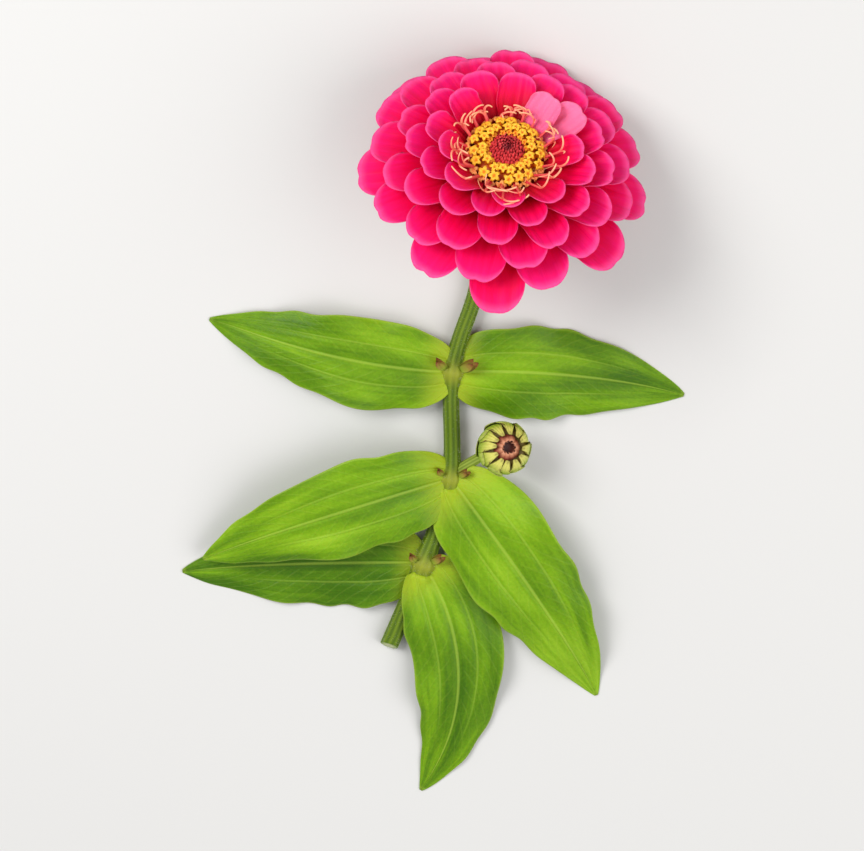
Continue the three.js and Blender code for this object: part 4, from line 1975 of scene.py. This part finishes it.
@dataclass(frozen=True)
class Tube:
    """A closed tube round a path, with ribs along it."""

    path: Sequence[Vector]
    radii: Sequence[float]
    sides: int
    ribs: int
    rib: float

    def mesh(self, name: str, **along_path: Sequence[float]) -> bpy.types.Mesh:
        """Makes the tube, which stores how far around and along each point is.

        Args:
            name: The mesh's name.
            along_path: Other numbers to store, each with a value for each point of the path.

        Returns:
            The mesh, in millimetres.
        """
        path, sides, rings = self.path, self.sides, len(self.path)
        run, vertices, runs = 0.0, [], []
        for i, (point, radius) in enumerate(zip(path, self.radii)):
            ahead = (path[min(i + 1, rings - 1)] - path[max(i - 1, 0)]).normalized()
            run += (point - path[i - 1]).length if i else 0.0
            side = ahead.cross(UP).normalized()
            top = side.cross(ahead)
            for j in range(sides):
                angle = FULL_TURN * j / sides
                reach = radius + self.rib * math.cos(self.ribs * angle)
                vertices.append(point + reach * (math.cos(angle) * side + math.sin(angle) * top))
            runs.append(run)
        faces, last = [], len(vertices) - sides
        for low in range(0, last, sides):
            for j in range(sides):
                high, after = low + sides, (j + 1) % sides
                faces.append((low + j, high + j, high + after, low + after))
        faces += [tuple(range(sides)), tuple(reversed(range(last, last + sides)))]
        mesh = bpy.data.meshes.new(name)
        mesh.from_pydata(vertices, [], faces)
        plain = [0.0] * rings
        stored = {"along": runs, "cut": plain, "node": plain, **along_path}
        around = [j / sides for j in range(sides)] * rings
        mesh.attributes.new("around", "FLOAT", "POINT").data.foreach_set("value", around)
        for label, values in stored.items():
            shared = [value for value in values for _ in range(sides)]
            mesh.attributes.new(label, "FLOAT", "POINT").data.foreach_set("value", shared)
        return mesh


@dataclass
class Stem:
    """The stem, from the involucre to its cut end, with short hairs.

    slant is how far the cut face leans back for each millimetre up, and cut_rings are the radii of its
    rings as shares of the stem's.
    """

    finish: Finish = STALK
    hair: Finish = HAIR
    points: tuple[StemPoint, ...] = STEM
    steps: int = 260
    sides: int = 72
    ribs: int = 9
    rib: float = 0.07
    slant: float = 0.6
    slant_length: float = 8.0
    cut_rings: tuple[float, ...] = (0.96, 0.8, 0.6, 0.4, 0.2)
    cut_spacing: float = 0.03
    cut_middle: float = 1.02
    hairs_per_mm2: float = 0.9
    hair_sides: int = 3
    hair_length: float = 0.75
    hair_radius: float = 0.045
    seed: int = 7

    def build(self) -> None:
        """Sweeps the stem along its points, with a swelling at each node, and grows its hairs."""
        places = [Vector(point.at) for point in self.points]
        where = [(len(places) - 1) * i / self.steps for i in range(self.steps + 1)]
        path = [catmull_rom(places, w) for w in where]
        radii = [self.radius(w, at) for w, at in zip(where, path)]
        ahead = (path[-1] - path[-2]).normalized()
        path += [path[-1] + ahead * self.cut_spacing * (i + 1) for i in range(len(self.cut_rings))]
        radii += [radii[-1] * share for share in self.cut_rings]
        cut = [0.0] * len(where) + [self.cut_middle - share for share in self.cut_rings]
        pale = [self.nearness(at, PALE_SPAN) for at in path]
        mesh = Tube(path, radii, self.sides, self.ribs, self.rib).mesh("stem", cut=cut, node=pale)
        self.slant_cut(mesh, path[-1], ahead)
        self.grow_hairs(mesh.copy())
        settle("stem", mesh, self.finish, Solid.LEAFY_STEM)

    def nearness(self, at: Vector, span: float) -> float:
        """How near a point is to the nearest node, as 1 at the node, fading over a span."""
        nodes = (Vector(self.points[point].at) for point in NODE_POINTS)
        return max(math.exp(-(((at - node).length / span) ** 2)) for node in nodes)

    def radius(self, where: float, at: Vector) -> float:
        """The stem's radius.

        Args:
            where: How far along its curve.
            at: The place on the curve.

        Returns:
            The radius there.
        """
        k = min(int(where), len(self.points) - 2)
        radius = self.points[k].radius + (self.points[k + 1].radius - self.points[k].radius) * (where - k)
        return radius + NODE_SWELLING * self.nearness(at, NODE_SPAN) + COLLAR * self.nearness(at, COLLAR_SPAN)

    def slant_cut(self, mesh: bpy.types.Mesh, end: Vector, ahead: Vector) -> None:
        """Slants the stem's end, so that the cut face looks up.

        Args:
            mesh: The stem.
            end: Where it ends.
            ahead: The way it points there.
        """
        for vertex in mesh.vertices:
            behind = (end - vertex.co).dot(ahead)
            if behind < self.slant_length:
                height = vertex.co.z - end.z + self.points[-1].radius
                vertex.co -= ahead * self.slant * height * (1 - max(behind, 0) / self.slant_length)

    def grow_hairs(self, mesh: bpy.types.Mesh) -> None:
        """Scatters short hairs over the stem.

        Args:
            mesh: The stem.
        """
        tree = GrowthTree("stem_hairs")
        scatter = tree.feed(tree.add("GeometryNodeDistributePointsOnFaces"), {
            "Mesh": tree.start.outputs["Geometry"],
            "Density": tree.size("Density", self.hairs_per_mm2),
            "Seed": self.seed,
        })
        hair = tree.feed(tree.add("GeometryNodeMeshCone"), {
            "Vertices": self.hair_sides,
            "Radius Bottom": self.hair_radius,
            "Depth": tree.size("Length", self.hair_length),
        })
        placed = tree.feed(tree.add("GeometryNodeInstanceOnPoints"), {
            "Points": scatter.outputs["Points"],
            "Instance": hair.outputs[0],
            "Rotation": scatter.outputs["Rotation"],
        })
        tree.finish(placed.outputs[0], self.hair.material())
        tree.grow("stem_hairs", Solid.LEAFY_STEM, host=mesh)


class AxilDraw(IntEnum):
    """The draws of a young leaf, by their series."""

    LEAN = 2
    RISE = 3
    LENGTH = 6


@dataclass
class AxilLeaves:
    """The tiny young leaves that stand in the crook of each node, half of them on each side of the stem.

    A leaf is the usual share of its node's length, and slenderness is half its width against that. foot is
    where they start: how far to the side of the node, how far towards the head, and how high over the
    stem's middle. Angles are radians.
    """

    finish: Finish = YOUNG_LEAF
    count: int = 6
    faces: tuple[int, int] = (8, 14)
    lengths: Triple = (9.0, 6.0, 7.0)
    usual_length: float = 0.8
    slenderness: float = 0.17
    thickness: float = 0.3
    foot: Triple = (1.4, 0.5, 2.5)
    start: float = 1.2
    lean: float = 0.75
    rise: float = 0.8
    curl: float = 0.25
    hollow: float = 0.5
    lean_stray: float = 0.35
    rise_stray: float = 0.2
    length_stray: float = 0.25

    def build(self) -> None:
        """Grows a tuft at each node."""
        tree = GrowthTree("axil_leaves")
        count = tree.count("Count", self.count)
        tufts = []
        for index, (point, value) in enumerate(zip(NODE_POINTS, self.lengths)):
            length = tree.size(f"Length {index + 1}", value)
            blades = tree.copies(tree.slab(*self.faces), count, "leaflet")
            tufts.append(tree.move(blades, self.place(tree, length, STEM[point].at)))
        tree.finish(tree.joined(tufts), self.finish.material())
        tree.grow("axil_leaves", Solid.LEAFY_STEM)

    def place(self, tree: GrowthTree, length: Value, at: Triple) -> Place:
        """Where the points of a node's young leaves are.

        Args:
            tree: The tree that grows them.
            length: The node's length.
            at: The node.

        Returns:
            The coordinates.
        """
        u, v, k, upper = tree.kept("across", "along", "leaflet", "upper")
        side = tree.math("MODULO", k, 2.0) * 2 - 1
        heading = math.pi / 2 - side * (draw(k, AxilDraw.LEAN) * self.lean_stray + self.lean)
        rise = draw(k, AxilDraw.RISE) * self.rise_stray + self.rise
        size = length * (draw(k, AxilDraw.LENGTH) * self.length_stray + self.usual_length)
        across = size * self.slenderness * spread(u) * ((v + 0.03) ** 0.5 * (1 - v) ** 0.7 / 0.5)
        run = size * v * cos(rise) + self.start
        lift = size * v * sin(rise) - v * v * size * self.curl + u * u * self.hollow
        lift = lift + (upper - 0.5) * self.thickness
        x = cos(heading) * run - sin(heading) * across + (side * self.foot[0] + at[0])
        y = sin(heading) * run + cos(heading) * across + (at[1] + self.foot[1])
        return x, y, lift + (at[2] + self.foot[2])


@dataclass
class BudStalk:
    """The short stalk of the side bud.

    elbow is where it bends, from the node, entry how far behind the bud it points at the bud, and sunk how
    deep it ends inside.
    """

    finish: Finish = BUD_STALK
    elbow: Triple = (3.4, 3.4, 1)
    entry: float = 2.5
    sunk: float = 1.0
    steps: int = 40
    sides: int = 32
    ribs: int = 9
    rib: float = 0.06
    thin: float = 1.4
    thick: float = 2.0

    def build(self) -> None:
        """Sweeps the stalk from the middle node into the bud."""
        node, matrix = Vector(STEM[NODE_POINTS[1]].at), BUD.matrix()
        in_bud = (-BUD_RADIUS - self.entry, self.sunk - BUD_RADIUS)
        places = [node, node + Vector(self.elbow), *(matrix @ Vector((0, 0, height)) for height in in_bud)]
        shares = [i / self.steps for i in range(self.steps + 1)]
        path = [catmull_rom(places, (len(places) - 1) * share) for share in shares]
        radii = [self.thin + (self.thick - self.thin) * share**2 for share in shares]
        mesh = Tube(path, radii, self.sides, self.ribs, self.rib).mesh("bud_stalk")
        settle("bud_stalk", mesh, self.finish, Solid.LEAFY_STEM)


# ---------------------------------------------------------------- stage
@dataclass(frozen=True)
class SoftLight:
    """A square light that faces the flower: where it is, its side in metres, and its power."""

    name: str
    at: Triple
    size: float
    power: float

    def build(self) -> None:
        """Puts the light up."""
        lamp = bpy.data.lights.new(self.name, "AREA")
        lamp.size, lamp.energy = self.size, self.power
        holder = bpy.data.objects.new(self.name, lamp)
        holder.location = self.at
        holder.rotation_euler = Vector(self.at).to_track_quat("Z", "Y").to_euler()
        bpy.context.scene.collection.objects.link(holder)


@dataclass
class Studio:
    """Pale floor, soft light from the upper left of the picture, and the camera, in metres.

    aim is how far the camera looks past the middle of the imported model, and view_height is what its picture
    shows there, from bottom to top.
    """

    finish: Finish = FLOOR
    lights: tuple[SoftLight, ...] = (
        SoftLight("key", (-0.55, 0.5, 0.8), 0.5, 7.9),
        SoftLight("fill", (0.7, -0.1, 0.8), 0.9, 5.9),
    )
    sky: Colour = (0.97, 0.98, 1.0)
    sky_strength: float = 0.5
    floor_side: float = 8.0
    towards_camera: Triple = (0, 0.309, 0.951)
    distance: float = 1.6
    view_height: float = 0.248
    aim: Triple = (0, 0.010, 0)

    def build(self) -> None:
        """Lays the floor, and puts up the lights and the camera."""
        half = self.floor_side / 2
        mesh = bpy.data.meshes.new("floor")
        corners = [(-half, -half, 0), (half, -half, 0), (half, half, 0), (-half, half, 0)]
        mesh.from_pydata(corners, [], [(0, 1, 2, 3)])
        mesh.materials.append(self.finish.material())
        piece_of("floor", mesh)
        for light in self.lights:
            light.build()
        world = bpy.data.worlds.new("world")
        world.use_nodes = True
        background = world.node_tree.nodes["Background"]
        background.inputs["Color"].default_value = (*self.sky, 1)
        background.inputs["Strength"].default_value = self.sky_strength
        bpy.context.scene.world = world
        bpy.context.scene.view_settings.view_transform = "Standard"
        self.camera()

    def camera(self) -> None:
        """A long lens over the flower, which looks down on it from a little above the head."""
        low, high = (Vector(corner) for corner in CAD_BOX)
        data = bpy.data.cameras.new("camera")
        data.sensor_fit = "VERTICAL"
        data.lens = data.sensor_height * self.distance / self.view_height
        holder = bpy.data.objects.new("camera", data)
        centre = (low + high) / 2 + Vector(self.aim)
        back = Vector(self.towards_camera).normalized()
        right = Vector((0, 1, 0)).cross(back).normalized()
        turned_round = Matrix((right, back.cross(right), back)).transposed().to_4x4()
        holder.matrix_world = Matrix.Translation(centre + back * self.distance) @ turned_round
        bpy.context.scene.collection.objects.link(holder)
        bpy.context.scene.camera = holder


def main() -> None:
    """Builds the flower piece by piece, then the stage."""
    head = (RayFlorets(), Receptacle(), Styles(), DiscFlorets(), DiscCentre(), Involucre())
    for part in (*head, Bud(), Leaves(), Stem(), AxilLeaves(), BudStalk(), Studio()):
        part.build()


if __name__ == "__main__":
    main()
